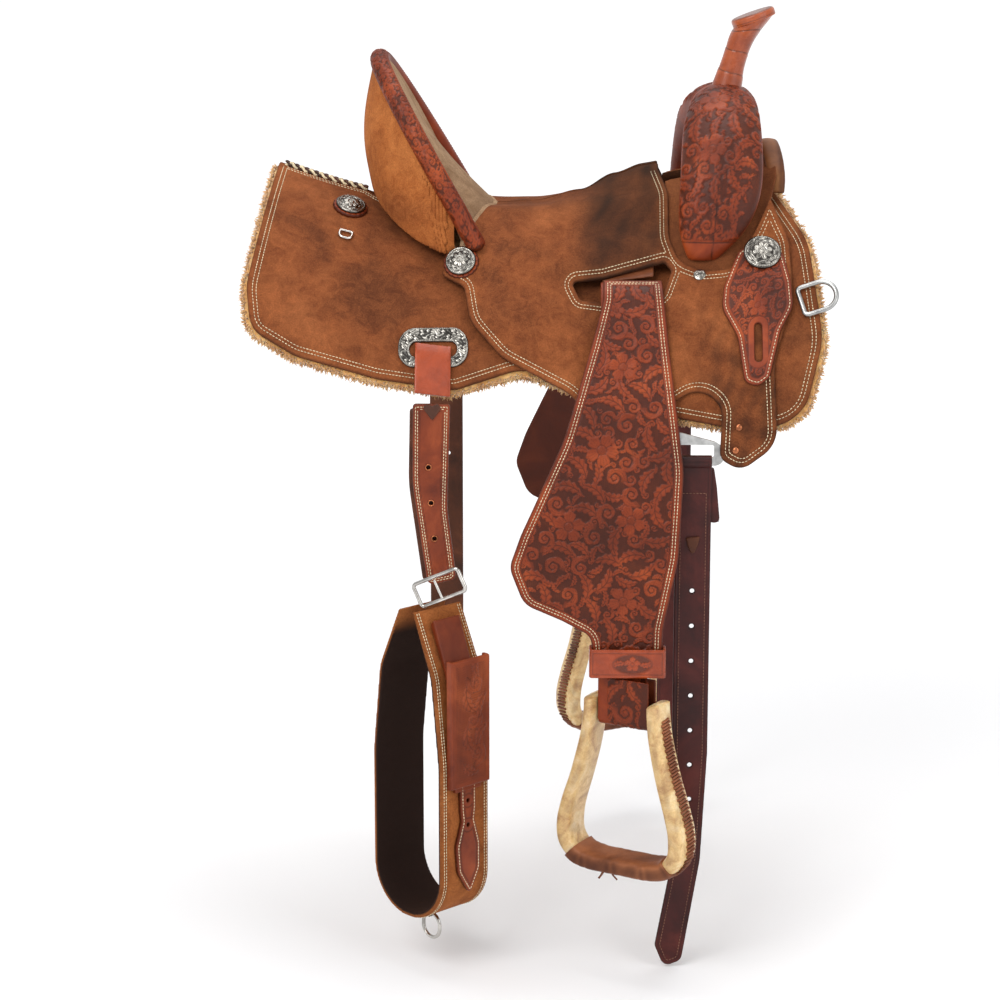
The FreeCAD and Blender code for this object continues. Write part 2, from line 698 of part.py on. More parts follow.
LIP_ANGLE = 43.5
LEATHER_LIFT = 3.6
LEATHER = size("leather_thick")
FENDER_LIFT = LEATHER_LIFT + LEATHER + GAP
FENDER = [(90, 0, 0), (88, -80, 20), (74, -130, 160), (40, -240, 200), (-12, -352, 120), (-26, -392, 26),
          (-8, -438, 30), (38, -458, 40), (75, -478, 20), (77.5, -560, 0), (160.5, -560, 0), (162, -470, 60),
          (180, -380, 120), (186, -275, 120), (168, -130, 120), (155, 0, 0)]

loop_xs = steps(MID_X - 32, MID_X + 32, 3)
loop_shape = between(
    [[side_point(x, a, size("loop_over")) for a in steps(26, LIP_ANGLE - 1.2, 6)] for x in loop_xs],
    [[side_point(x, a, size("loop_under")) for a in steps(26, LIP_ANGLE - 1.2, 6)] for x in loop_xs])
pair(free_form("leather_loop", loop_shape), "stirrup_leather_loop")

fender_section = hanging_section(FENDER_LIFT, size("fender_thick"), LIP_ANGLE, size("fender_bottom"))
fender = both("fender", hanging("fender_blank", fender_section, 150), side_prism("fender", FENDER))
pair(fender, "fender")

leather_section = hanging_section(LEATHER_LIFT, LEATHER, LIP_ANGLE, size("fender_bottom") + 6)
upper_leather = hanging("leather_upper", leather_section, 34)

# the leather's end turns about the stirrup bolt, and its tip lies outside the fender's end
BOLT_Z, SLEEVE = size("bolt_z"), size("sleeve_radius")
STRAP_Y = HANG_Y - LEATHER_LIFT - LEATHER - 1.5
turned = Rotation(Vector(0, 0, 1), size("turn_angle"))
turned_place = Placement(Vector(MID_X, STRAP_Y, 0), turned)
LOOP_IN = SLEEVE + GAP
LOOP_OUT = LOOP_IN + LEATHER
LOOP_TOP = size("keeper_top") - size("keeper_height") - 3


def loop_face():
    """Section of the strap's loop about the bolt."""
    bottom = [Part.Arc(Vector(0, -r, BOLT_Z), Vector(0, 0, BOLT_Z - r), Vector(0, r, BOLT_Z)).toShape()
              for r in (LOOP_IN, LOOP_OUT)]
    lines = []
    for r in (LOOP_IN, LOOP_OUT, -LOOP_IN, -LOOP_OUT):
        lines.append(Part.makeLine(Vector(0, r, BOLT_Z), Vector(0, r, LOOP_TOP)))
    for r in (1, -1):
        lines.append(Part.makeLine(Vector(0, r * LOOP_IN, LOOP_TOP), Vector(0, r * LOOP_OUT, LOOP_TOP)))
    return Part.Face(Part.Wire(Part.__sortEdges__(bottom + lines)))


half = size("leather_half") - 3
end_face = loop_face()
end_face.translate(Vector(-half, 0, 0))
leather_end = free_form("leather_end", end_face.extrude(Vector(2 * half, 0, 0)))
leather_end.Placement = turned_place
pair(group("leather_group", [upper_leather, leather_end]), "stirrup_leather")


def tube_of(name, x, y, half_x, half_y, wall, bottom, tall):
    """A flat band round a strap, open above and below."""
    ring = prism(name + "_out", "XY", oval(x, y, half_x, half_y, 5), bottom, tall)
    bore_of = prism(name + "_in", "XY", oval(x, y, half_x - wall, half_y - wall, 2), bottom, tall)
    return minus(name, ring, bore_of)


KEEPER_BOTTOM = size("keeper_top") - size("keeper_height")
keeper_y = HANG_Y - LEATHER_LIFT - 5
keeper = tube_of("keeper", MID_X, keeper_y, size("keeper_half"), 13, size("keeper_thick"), KEEPER_BOTTOM,
                 "keeper_height")
pair(keeper, "hobble_strap")


# ---------------------------------------------------------------- stirrup, in its own turned frame

STIRRUP_OUT = [(-50, -556, 14), (-54, -600, 60), (-86, -700, 70), (-86, -756, 38), (-40, -781, 60),
               (40, -781, 60), (86, -756, 38), (86, -700, 70), (54, -600, 60), (50, -556, 14)]
STIRRUP_IN = [(-36.5, -500, 0), (-38, -600, 60), (-68, -700, 60), (-68, -746, 28), (-30, -761, 50),
              (30, -761, 50), (68, -746, 28), (68, -700, 60), (38, -600, 60), (36.5, -500, 0)]
TREAD_LEVEL = [(-120, -800, 0), (120, -800, 0), (120, -738, 0), (-120, -738, 0)]


def swollen(corners, distance):
    """Corners of an anticlockwise outline moved outward, or inward with a negative distance."""
    moved = []
    for i, (u, v, radius) in enumerate(corners):
        here = Vector(u, v, 0)
        before = (here - Vector(*corners[i - 1][:2], 0)).normalize()
        after = (Vector(*corners[(i + 1) % len(corners)][:2], 0) - here).normalize()
        out = Vector(before.y + after.y, -before.x - after.x, 0).normalize()
        place = here + out * (distance / math.cos(before.getAngle(after) / 2))
        moved.append((place.x, place.y, radius))
    return moved


def turned_prism(name, corners, deep, place):
    """A side outline in a turned frame, as deep on both sides of its plane as the alias says."""
    solid = prism(name, "XZ", corners, 0, deep)
    solid.Symmetric = True
    solid.Placement = place
    return solid


def rod_along(name, place, length, radius):
    """A rod along X of its own frame, centred on a place."""
    thing = doc.addObject("Part::Cylinder", name)
    bind(thing, Radius=radius, Height=length)
    start = Placement(Vector(-size(length) / 2, 0, 0), Rotation(Vector(0, 1, 0), 90))
    thing.Placement = place.multiply(start)
    return thing


def stirrup_frame(name):
    """A body with the stirrup's sides and tread as one bent piece."""
    body = doc.addObject("PartDesign::Body", name)
    plane = [plane for plane in body.Origin.OriginFeatures if plane.Role == "XZ_Plane"][0]
    for label, corners in (("Pad", STIRRUP_OUT), ("Pocket", STIRRUP_IN)):
        sketch = body.newObject("Sketcher::SketchObject", f"{name}_{label}_outline")
        sketch.AttachmentSupport = [(plane, "")]
        sketch.MapMode = "FlatFace"
        sketch.addGeometry(outline_edges(corners), False)
        feature = body.newObject("PartDesign::" + label, f"{name}_{label}")
        feature.Profile = sketch
        feature.Midplane = True
        bind(feature, Length="stirrup_depth")
    body.Placement = turned_place
    return body


bolt_place = turned_place.multiply(Placement(Vector(0, 0, BOLT_Z), Rotation()))
bolt_hole = rod_along("bolt_hole", bolt_place, "bolt_length", "bolt_radius + layer_gap")
pair(minus("stirrup_bored", stirrup_frame("stirrup_frame"), bolt_hole), "stirrup")

bolt = rod_along("bolt", bolt_place, "bolt_length", "bolt_radius")
roller = minus("roller", rod_along("roller_out", bolt_place, "roller_length", "sleeve_radius"),
               rod_along("roller_in", bolt_place, "bolt_length", "bolt_radius + layer_gap"))
pair(group("bolt_group", [bolt, roller]), "stirrup_bolt")

WRAP = size("tread_thick")


def stirrup_band(name, swell, deep):
    """A band that follows the stirrup, thicker on both faces by swell."""
    return minus(name, turned_prism(name + "_out", swollen(STIRRUP_OUT, swell), deep, turned_place),
                 turned_prism(name + "_in", swollen(STIRRUP_IN, -swell), deep, turned_place))


wrap_ring = stirrup_band("wrap_ring", WRAP, "tread_depth")
wrap_room = stirrup_band("wrap_room", GAP, "stirrup_room")
wrap_low = both("wrap_low", wrap_ring, turned_prism("wrap_level", TREAD_LEVEL, "tread_depth", turned_place))
pair(minus("tread_wrap", wrap_low, wrap_room), "stirrup_tread_wrap")

# ---------------------------------------------------------------- off billet and latigo

BILLET = [(177, -200, 0), (177, -790, 60), (158, -895, 10), (170, -924, 10), (192, -915, 12),
          (214, -780, 120), (221, -640, 60), (221, -200, 0)]
LATIGO = [(177.5, -200, 0), (177, -845, 10), (199, -878, 14), (221, -845, 10), (221, -200, 0)]
BILLET_HOLES = [(199, -430 - 45 * i) for i in range(8)]


def punched(name, strap, holes):
    """A strap with a round hole at each (x, z)."""
    drills = []
    for i, (x, z) in enumerate(holes):
        drill = doc.addObject("Part::Cylinder", f"{name}_hole{i}")
        bind(drill, Radius="hole_radius", Height="half_reach")
        drill.Placement = Placement(Vector(x, 0, z), Rotation(Vector(1, 0, 0), 90))
        drills.append(drill)
    return minus(name + "_punched", strap, *drills)


def ring_strap(name, corners, holes):
    """A strap that hangs on the front plate's lower bar by a round loop."""
    loop_out = doc.addObject("Part::Cylinder", name + "_loop")
    loop_in = doc.addObject("Part::Cylinder", name + "_eye")
    for cylinder, radius in ((loop_out, "bar_eye + billet_thick / 2"), (loop_in, "bar_eye")):
        bind(cylinder, Radius=radius, Height="billet_width")
        cylinder.Placement = Placement(Vector(177, PLATE_Y, PLATE_BAR_Z), Rotation(Vector(0, 1, 0), 90))
    blade = doc.addObject("Part::Box", name + "_blade")
    bind(blade, Length="billet_width * 2", Width="billet_thick", Height="billet_reach")
    blade.Placement.Base = Vector(150, PLATE_Y - size("billet_thick") / 2, PLATE_BAR_Z - size("billet_reach"))
    hanging_blade = both(name + "_cut_blade", blade, side_prism(name + "_shape", corners))
    fused = doc.addObject("Part::Fuse", name + "_fused")
    fused.Base, fused.Tool = loop_out, hanging_blade
    return punched(name, minus(name, fused, loop_in), holes)


node(ring_strap("off_billet", BILLET, BILLET_HOLES), "off_billet")
latigo = ring_strap("latigo_blank", LATIGO, [])
near_latigo = doc.addObject("Part::Mirroring", "latigo_near")
near_latigo.Source, near_latigo.Normal = latigo, Vector(0, 1, 0)
node(near_latigo, "latigo")

# ---------------------------------------------------------------- flank billets

LOOP_X = -121
LOOP_PATH = [(55.6, 3.8), (57, 6.2), (59, 8.0), (62, 7.6), (65.6, 7.4)]
LOOP_THICK = 4.6
LOOP_XS = steps(LOOP_X - 22, LOOP_X + 22, 4)
flank_loop = between([[side_point(x, a, lift + LOOP_THICK) for a, lift in LOOP_PATH] for x in LOOP_XS],
                     [[side_point(x, a, lift) for a, lift in LOOP_PATH] for x in LOOP_XS])
pair(free_form("flank_loop", flank_loop), "rear_billet_loop")

REAR_Y = size("rear_billet_y")
UPPER_BILLET = [(-145, -199, 4), (-146, -300, 200), (-128, -428, 8), (-92, -420, 8), (-103, -330, 100),
                (-99, -199, 4)]
NEAR_BILLET = [(-145, -199, 4), (-145, -600, 10), (-122, -640, 14), (-99, -600, 10), (-99, -199, 4)]
REAR_HOLES = [(-126, -278), (-123, -323), (-119, -368)]


def flat_strap(name, corners):
    """A flat flank billet, in a plane of its own."""
    blade = prism(name, "XZ", corners, -REAR_Y - size("rear_billet_thick") / 2, "rear_billet_thick")
    return punched(name, blade, REAR_HOLES)


cinch_turn = Rotation(Vector(0, 0, 1), size("cinch_turn"))
cinch_place = Placement(Vector(size("cinch_x"), size("cinch_y"), 0), cinch_turn)
CINCH_OUT = [(-14, -452, 0), (-50, -530, 60), (-63, -640, 200), (-63, -851, 62), (63, -851, 62),
             (63, -640, 200), (50, -530, 60), (14, -452, 0)]
CINCH_IN = [(-6, -440, 0), (-43, -532, 53), (-56, -641, 193), (-56, -844, 55), (56, -844, 55),
            (56, -641, 193), (43, -532, 53), (6, -440, 0)]
LOWER_OUT = [(30, -462, 0), (57, -532, 60), (69, -640, 200), (69, -800, 0), (63.6, -800, 0),
             (63.6, -640, 200), (51.2, -530, 60), (24, -468, 0)]
SLEEVE_OUT = [(63.4, -670, 0), (74, -670, 3), (74, -506, 3), (63.4, -506, 0)]
SLEEVE_IN = [(50, -680, 0), (70.5, -680, 0), (70.5, -490, 0), (50, -490, 0)]

upper = flat_strap("rear_upper", UPPER_BILLET)
lower = turned_prism("rear_lower", LOWER_OUT, "lower_billet_width", cinch_place)
node(group("rear_billet", [upper, lower]), "rear_billet_right")
near_rear = flat_strap("rear_near", NEAR_BILLET)
near_mirror = doc.addObject("Part::Mirroring", "rear_near_side")
near_mirror.Source, near_mirror.Normal = near_rear, Vector(0, 1, 0)
node(near_mirror, "rear_billet_left")

cinch_band = minus("cinch_band", turned_prism("cinch_out", CINCH_OUT, "cinch_width", cinch_place),
                   turned_prism("cinch_in", CINCH_IN, "cinch_width", cinch_place))
tab_place = cinch_place.multiply(Placement(Vector(0, 0, -851.4), Rotation()))
tab = doc.addObject("Part::Box", "ring_tab")
bind(tab, Length="tab_thick", Width="tab_width", Height="tab_width")
tab.Placement = tab_place.multiply(Placement(Vector(-1.5, -6, -10), Rotation()))
tab_eye_place = tab_place.multiply(Placement(Vector(0, 0, -5.6), Rotation()))
tab_eye = rod_along("tab_eye", tab_eye_place, "tab_width", "ring_wire + layer_gap * 2")
fused_cinch = doc.addObject("Part::Fuse", "cinch_fused")
fused_cinch.Base, fused_cinch.Tool = cinch_band, tab
node(minus("cinch", fused_cinch, tab_eye), "flank_cinch")

sleeve = minus("sleeve", turned_prism("sleeve_out", SLEEVE_OUT, "sleeve_width", cinch_place),
               turned_prism("sleeve_in", SLEEVE_IN, "sleeve_bore", cinch_place))
node(sleeve, "cinch_sleeve")

RING_RADIUS = 15
RING_PATH = oval(0, 0, RING_RADIUS, RING_RADIUS + 1)
ring_place = tab_eye_place.multiply(Placement(Vector(0, 0, -RING_RADIUS - 1), Rotation(Vector(1, 0, 0), 90)))
node(wire_ring("ring_wire_path", outline_edges(RING_PATH), size("ring_wire"), ring_place), "cinch_ring")

BUCKLE = oval(0, 0, 32, 15, 5)
buckle_turn = Rotation(Vector(0, 0, 1), -18).multiply(Rotation(Vector(0, 1, 0), -25)).multiply(
    Rotation(Vector(1, 0, 0), 90))
buckle_place = Placement(Vector(-112, -284, -423), buckle_turn)
node(wire_ring("buckle_wire", outline_edges(BUCKLE), size("ring_wire"), buckle_place), "cinch_buckle")
tongue_place = buckle_place.multiply(Placement(Vector(0, 11.5, 5.6), Rotation(Vector(1, 0, 0), 90)))
tongue = doc.addObject("Part::Cylinder", "tongue_rod")
bind(tongue, Radius="small_wire", Height="tongue_reach")
tongue.Placement = tongue_place
node(tongue, "cinch_buckle_tongue")

# ---------------------------------------------------------------- lacing that joins the skirts behind

LACE_LIFT = 8.2
lace_radius = size("rocker_height") - size("ridge_rise") - LACE_LIFT
lace_ends = [math.asin(x / lace_radius) for x in (-330, -276, -222)]
lace_path = Part.Arc(*[Vector(lace_radius * math.sin(a), 0, size("rocker_height") - lace_radius * math.cos(a))
                       for a in lace_ends]).toShape()
lace_wire = Part.Wire([lace_path])
lace_ring = Part.Wire([Part.makeCircle(size("lace_radius"), lace_path.valueAt(lace_path.FirstParameter),
                                       lace_path.tangentAt(lace_path.FirstParameter))])
node(free_form("lacing", lace_wire.makePipeShell([lace_ring], True, False)), "skirt_lacing")

# ---------------------------------------------------------------- checks and files

doc.recompute()
for thing in doc.Objects:
    faults = {"Invalid", "Error"} & set(thing.State)
    if faults:
        raise RuntimeError(f"{thing.Name}: {sorted(faults)}")
for thing in NODES:
    if thing.Shape.isNull() or not thing.Shape.isValid() or not thing.Shape.Solids:
        raise RuntimeError(f"{thing.Label} has no valid solid")

os.makedirs("parts", exist_ok=True)
for thing in NODES:
    thing.Shape.exportStep(f"parts/{thing.Label}.step")
    print(f"{thing.Label}: {len(thing.Shape.Solids)} solid(s), {thing.Shape.Volume / 1000:.1f} cm3")
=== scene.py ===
import math

import bmesh
import bpy
import numpy as np
from mathutils import Matrix, Vector
from mathutils.geometry import delaunay_2d_cdt


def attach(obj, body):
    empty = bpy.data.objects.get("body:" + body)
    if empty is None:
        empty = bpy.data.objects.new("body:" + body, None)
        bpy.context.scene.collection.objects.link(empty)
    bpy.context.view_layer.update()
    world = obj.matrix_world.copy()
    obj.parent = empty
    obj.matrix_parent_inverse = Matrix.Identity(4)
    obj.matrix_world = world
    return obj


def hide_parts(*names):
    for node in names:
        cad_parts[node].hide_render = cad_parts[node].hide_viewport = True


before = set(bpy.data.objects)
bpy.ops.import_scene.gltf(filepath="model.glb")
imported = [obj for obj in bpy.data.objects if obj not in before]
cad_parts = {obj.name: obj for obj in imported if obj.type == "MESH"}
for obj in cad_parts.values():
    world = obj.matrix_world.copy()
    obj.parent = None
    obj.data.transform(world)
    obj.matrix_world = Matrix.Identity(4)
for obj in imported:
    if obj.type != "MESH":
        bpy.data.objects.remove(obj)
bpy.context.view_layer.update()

# Lengths below are millimetres in the row frame, like the part's own, and become metres
# in solid(). The off (right) side is at negative Y; twin() mirrors a piece to the near side.

MM = 0.001
SIDES = {"_right": 1, "_left": -1}

# ---------------------------------------------------------------- the side surface

ROCKER, SIDE_RADIUS, RIDGE, RISE = 905.0, 370.0, 15.0, 5.0
CENTRE_Y = SIDE_RADIUS * math.sin(math.radians(RIDGE))
CENTRE_Z = RISE - SIDE_RADIUS * math.cos(math.radians(RIDGE))
DEGREE = math.radians(1) * SIDE_RADIUS


def blend(value, stops):
    """A smooth run through (place, amount) stops."""
    places = [p for p, _ in stops]
    amounts = np.array([np.broadcast_to(a, np.shape(value)) for _, a in stops], float)
    value = np.clip(np.asarray(value, float), places[0], places[-1])
    i = np.clip(np.searchsorted(places, value, side="right") - 1, 0, len(places) - 2)
    low, high = np.array(places, float)[i], np.array(places, float)[i + 1]
    share = (1 - np.cos(math.pi * (value - low) / (high - low))) / 2
    first = np.take_along_axis(amounts, i[None], 0)[0]
    second = np.take_along_axis(amounts, i[None] + 1, 0)[0]
    return first + (second - first) * share


def side_point(x, angle, height):
    """A point of the off side: angle from the vertical in degrees, height above the skirt's middle."""
    turn = np.radians(angle)
    reach = ROCKER - CENTRE_Z - (SIDE_RADIUS + height) * np.cos(turn)
    y = -((SIDE_RADIUS + height) * np.sin(turn) - CENTRE_Y)
    return np.stack(np.broadcast_arrays(x, y, ROCKER - np.sqrt(reach ** 2 - x ** 2)), -1)


SEAT_RIDGE = [(-45, 12), (0, 15), (60, 27), (105, 44), (140, 51)]
EDGE_HEIGHT = 8.6


def seat_height(x, angle):
    """Height of the seat leather's face above the skirt's middle surface."""
    x, angle = np.broadcast_arrays(np.asarray(x, float), np.asarray(angle, float))
    ridge = blend(x, SEAT_RIDGE)
    height = blend(angle, [(15, ridge), (24, 30 + 0.35 * (ridge - 12)), (34, 30 + 0.1 * (ridge - 12)),
                           (46, 20), (62, EDGE_HEIGHT)])
    ends = np.minimum(blend(x, [(-115, 0.3), (-50, 1)]), blend(x, [(250, 1), (325, 0.25)]))
    share = blend(angle, [(34, 1), (40, ends)])
    return np.where(angle > 34, EDGE_HEIGHT + (height - EDGE_HEIGHT) * share, height)


def seat_rear(y):
    """Where the seat leather ends behind, for a distance from the spine plane."""
    return blend(y, [(0, -48), (125, -86), (146, -116)])


def skirt_height(x, angle):
    """Height of the skirt's face above its middle surface."""
    return np.full(np.shape(np.broadcast_arrays(x, angle)[0]), 3.0)


class Side:
    """Flat (x, arc) coordinates on a face of the off side, and back to space."""

    def __init__(self, height):
        self.height = height

    def flat(self, points):
        """Side view (x, z) points laid flat on the face."""
        x, z = points[:, 0], points[:, 1]
        angle = np.full(len(x), 40.0)
        reach = np.sqrt((ROCKER - z) ** 2 + x ** 2)
        for _ in range(12):
            cosine = (ROCKER - CENTRE_Z - reach) / (SIDE_RADIUS + self.height(x, angle))
            cosine = np.clip(cosine, -1, math.cos(math.radians(RIDGE)))
            angle = 0.5 * angle + 0.5 * np.degrees(np.arccos(cosine))
        return np.stack([x, -angle * DEGREE], -1)

    def place(self, flat, lift):
        """Flat coordinates and a lift from the face, to space."""
        x, angle = flat[:, 0], -flat[:, 1] / DEGREE
        return side_point(x, angle, self.height(x, angle) + lift)


class Drape:
    """Flat (x, length) coordinates on a sheet that hangs along a side section curve."""

    def __init__(self, section):
        self.section = np.array(section, float)
        self.lengths = lengths_along(self.section)
        way = np.gradient(self.section, axis=0)
        self.out = unit(np.stack([way[:, 1], -way[:, 0]], -1))

    def flat(self, points):
        """Side view (x, z) points laid flat on the hanging sheet."""
        order = np.argsort(self.section[:, 1])
        run = np.interp(points[:, 1], self.section[order, 1], self.lengths[order])
        return np.stack([points[:, 0], -run], -1)

    def place(self, flat, lift):
        """Flat coordinates and a lift from the inner face, to space."""
        run = -flat[:, 1]
        at = [np.interp(run, self.lengths, self.section[:, i]) for i in (0, 1)]
        out = [np.interp(run, self.lengths, self.out[:, i]) for i in (0, 1)]
        return np.stack([flat[:, 0], at[0] + out[0] * lift, at[1] + out[1] * lift], -1)


class Plane:
    """Flat (u, v) coordinates on a plane with its own matrix in space."""

    def __init__(self, matrix):
        self.matrix = np.array(matrix)

    def place(self, flat, lift):
        lift = np.broadcast_to(lift, len(flat))
        local = np.stack([flat[:, 0], flat[:, 1], lift, np.ones(len(flat))], -1)
        return (local @ self.matrix.T)[:, :3]


def placing(across, up, out, origin):
    """The matrix that takes (u, v, lift) to a place in space."""
    matrix = np.eye(4)
    matrix[:3, 0], matrix[:3, 1], matrix[:3, 2], matrix[:3, 3] = across, up, out, origin
    return matrix


def upright(y):
    """A vertical plane across Y, its u along X, its v up, facing the off side."""
    return Plane([[1, 0, 0, 0], [0, 0, -1, y], [0, 1, 0, 0], [0, 0, 0, 1]])


# ---------------------------------------------------------------- outlines

def rounded(corners, step=2.5):
    """Points along straight runs joined by tangent arcs through (u, v, radius) corners."""
    points = []
    count = len(corners)
    for i, (u, v, radius) in enumerate(corners):
        here = np.array([u, v], float)
        back = np.array(corners[i - 1][:2], float) - here
        ahead = np.array(corners[(i + 1) % count][:2], float) - here
        back, ahead = unit(back), unit(ahead)
        half = math.acos(np.clip(back @ ahead, -1, 1)) / 2
        if radius <= 0 or half > math.radians(89.5):
            points.append(here)
            continue
        middle = here + unit(back + ahead) * radius / math.sin(half)
        start, end = here + back * radius / math.tan(half), here + ahead * radius / math.tan(half)
        first = math.atan2(*(start - middle)[::-1])
        sweep = (math.atan2(*(end - middle)[::-1]) - first + math.pi) % (2 * math.pi) - math.pi
        for share in np.linspace(0, 1, max(3, int(abs(sweep) * radius / step) + 2)):
            turn = first + sweep * share
            points.append(middle + radius * np.array([math.cos(turn), math.sin(turn)]))
    return resampled(np.array(points), step)


def resampled(points, step, closed=True):
    """The same line with points a step apart."""
    line = np.vstack([points, points[:1]]) if closed else points
    lengths = lengths_along(line)
    count = max(8, int(round(lengths[-1] / step)))
    at = np.linspace(0, lengths[-1], count, endpoint=not closed)
    return np.stack([np.interp(at, lengths, line[:, i]) for i in range(line.shape[1])], -1)


def oval(u, v, half_u, half_v, radius=None):
    """Corners of a rounded slot or plate about a centre."""
    radius = min(half_u, half_v) * 0.98 if radius is None else radius
    return [(u - half_u, v - half_v, radius), (u + half_u, v - half_v, radius),
            (u + half_u, v + half_v, radius), (u - half_u, v + half_v, radius)]


def unit(vectors):
    """Vectors made one long."""
    return vectors / np.maximum(np.linalg.norm(vectors, axis=-1, keepdims=True), 1e-9)


def lengths_along(line):
    """The way from a line's start to each of its points."""
    return np.concatenate([[0], np.cumsum(np.linalg.norm(np.diff(line, axis=0), axis=1))])


def spaced(line, gap):
    """The line without any point that is nearer than gap to the one before."""
    return line[np.concatenate([[True], np.linalg.norm(np.diff(line, axis=0), axis=1) > gap])]


def inside(points, loop):
    """Which points lie inside a closed loop."""
    result = np.zeros(len(points), bool)
    x, y = points[:, 0], points[:, 1]
    for (x0, y0), (x1, y1) in zip(loop, np.roll(loop, -1, axis=0)):
        if y0 == y1:
            continue
        crosses = (y0 > y) != (y1 > y)
        result ^= crosses & (x < (x1 - x0) * (y - y0) / (y1 - y0) + x0)
    return result


def within(points, loops):
    """Which points lie inside an outline and outside its holes."""
    keep = inside(points, loops[0])
    for hole in loops[1:]:
        keep &= ~inside(points, hole)
    return keep


def edge_distance(points, loops, free=None):
    """Distance from each point to the nearest outline segment; free marks segments that count."""
    best = np.full(len(points), 1e9)
    for loop in loops:
        for start, end in zip(loop, np.roll(loop, -1, axis=0)):
            if free is not None and not free(start, end):
                continue
            way = end - start
            length = max(way @ way, 1e-9)
            share = np.clip(((points - start) @ way) / length, 0, 1)
            best = np.minimum(best, np.linalg.norm(points - start - share[:, None] * way, axis=1))
    return best


def inset(loop, distance, loops, free=None):
    """Runs of points a distance inside a loop, broken where the outline turns back on itself."""
    way = np.roll(loop, -1, axis=0) - np.roll(loop, 1, axis=0)
    normal = unit(np.stack([-way[:, 1], way[:, 0]], -1))
    middle = loop + normal * 0.5
    if np.mean(within(middle, loops)) < 0.5:
        normal = -normal
    moved = loop + normal * distance
    keep = (edge_distance(moved, loops) > distance * 0.93) & within(moved, loops)
    if free is not None:
        keep &= np.array([free(a, b) for a, b in zip(loop, np.roll(loop, -1, axis=0))])
    return runs_of(moved, keep)


def runs_of(points, keep):
    """Split closed points into runs of kept ones."""
    if keep.all():
        return [np.vstack([points, points[:1]])]
    if not keep.any():
        return []
    shift = int(np.argmin(keep))
    points, keep = np.roll(points, -shift, axis=0), np.roll(keep, -shift)
    runs, run = [], []
    for point, kept in zip(points, keep):
        if kept:
            run.append(point)
        elif len(run) > 3:
            runs.append(np.array(run))
            run = []
        else:
            run = []
    if len(run) > 3:
        runs.append(np.array(run))
    return runs


# ---------------------------------------------------------------- meshes

def solid(name, points, faces, material, shade=None):
    """A mesh object from millimetre points, with a shade from 0 to 1 stored on each point."""
    mesh = bpy.data.meshes.new(name)
    mesh.from_pydata((np.asarray(points) * MM).tolist(), [], [list(map(int, f)) for f in faces])
    mesh.update()
    thing = bpy.data.objects.new(name, mesh)
    bpy.context.scene.collection.objects.link(thing)
    if shade is not None:
        layer = mesh.attributes.new("shade", "FLOAT", "POINT")
        layer.data.foreach_set("value", np.asarray(shade, np.float32))
    mesh.polygons.foreach_set("use_smooth", np.ones(len(mesh.polygons), bool))
    mesh.materials.append(material)
    return thing


def twin(thing, name):
    """The same piece mirrored to the near side."""
    mesh = thing.data.copy()
    mesh.transform(Matrix.Scale(-1, 4, (0, 1, 0)))
    mesh.flip_normals()
    other = bpy.data.objects.new(name, mesh)
    bpy.context.scene.collection.objects.link(other)
    return other


def joined(name, things):
    """Several objects joined in one mesh."""
    if len(things) == 1:
        things[0].name = name
        return things[0]
    with bpy.context.temp_override(active_object=things[0], selected_editable_objects=things):
        bpy.ops.object.join()
    things[0].name = name
    return things[0]


def flat_mesh(loops, spacing, rings=(0.5, 1.3, 2.4)):
    """Triangles that fill an outline with holes, with rings of points along its edges."""
    points, edges = [], []
    for loop in loops:
        start = len(points)
        points += loop.tolist()
        edges += [(start + i, start + (i + 1) % len(loop)) for i in range(len(loop))]
    for distance in rings:
        for loop in loops:
            for run in inset(loop, distance, loops):
                points += run[:-1].tolist()
    low, high = loops[0].min(0), loops[0].max(0)
    u, v = np.meshgrid(np.arange(low[0], high[0], spacing), np.arange(low[1], high[1], spacing * 0.866))
    u = u + (np.arange(len(u)) % 2)[:, None] * spacing / 2
    grid = np.stack([u.ravel(), v.ravel()], -1)
    grid = grid[within(grid, loops)]
    grid = grid[edge_distance(grid, loops) > max(rings[-1], 0.1) + spacing * 0.45]
    points += grid.tolist()
    verts, _, faces, _, _, _ = delaunay_2d_cdt([Vector(p) for p in points], edges, [], 0, 1e-4)
    verts = np.array([tuple(v) for v in verts])
    faces = np.array([list(f) for f in faces])
    return verts, faces[within(verts[faces].mean(1), loops)]


def refined(verts, faces, levels):
    """Each triangle split in four, levels times."""
    for _ in range(levels):
        edges = np.sort(np.concatenate([faces[:, [0, 1]], faces[:, [1, 2]], faces[:, [2, 0]]]), axis=1)
        unique, index = np.unique(edges, axis=0, return_inverse=True)
        index = index.reshape(3, -1) + len(verts)
        verts = np.vstack([verts, verts[unique].mean(1)])
        a, b, c = faces.T
        ab, bc, ca = index
        faces = np.concatenate([np.stack(t, -1) for t in ((a, ab, ca), (ab, b, bc), (ca, bc, c), (ab, bc, ca))])
    return verts, faces


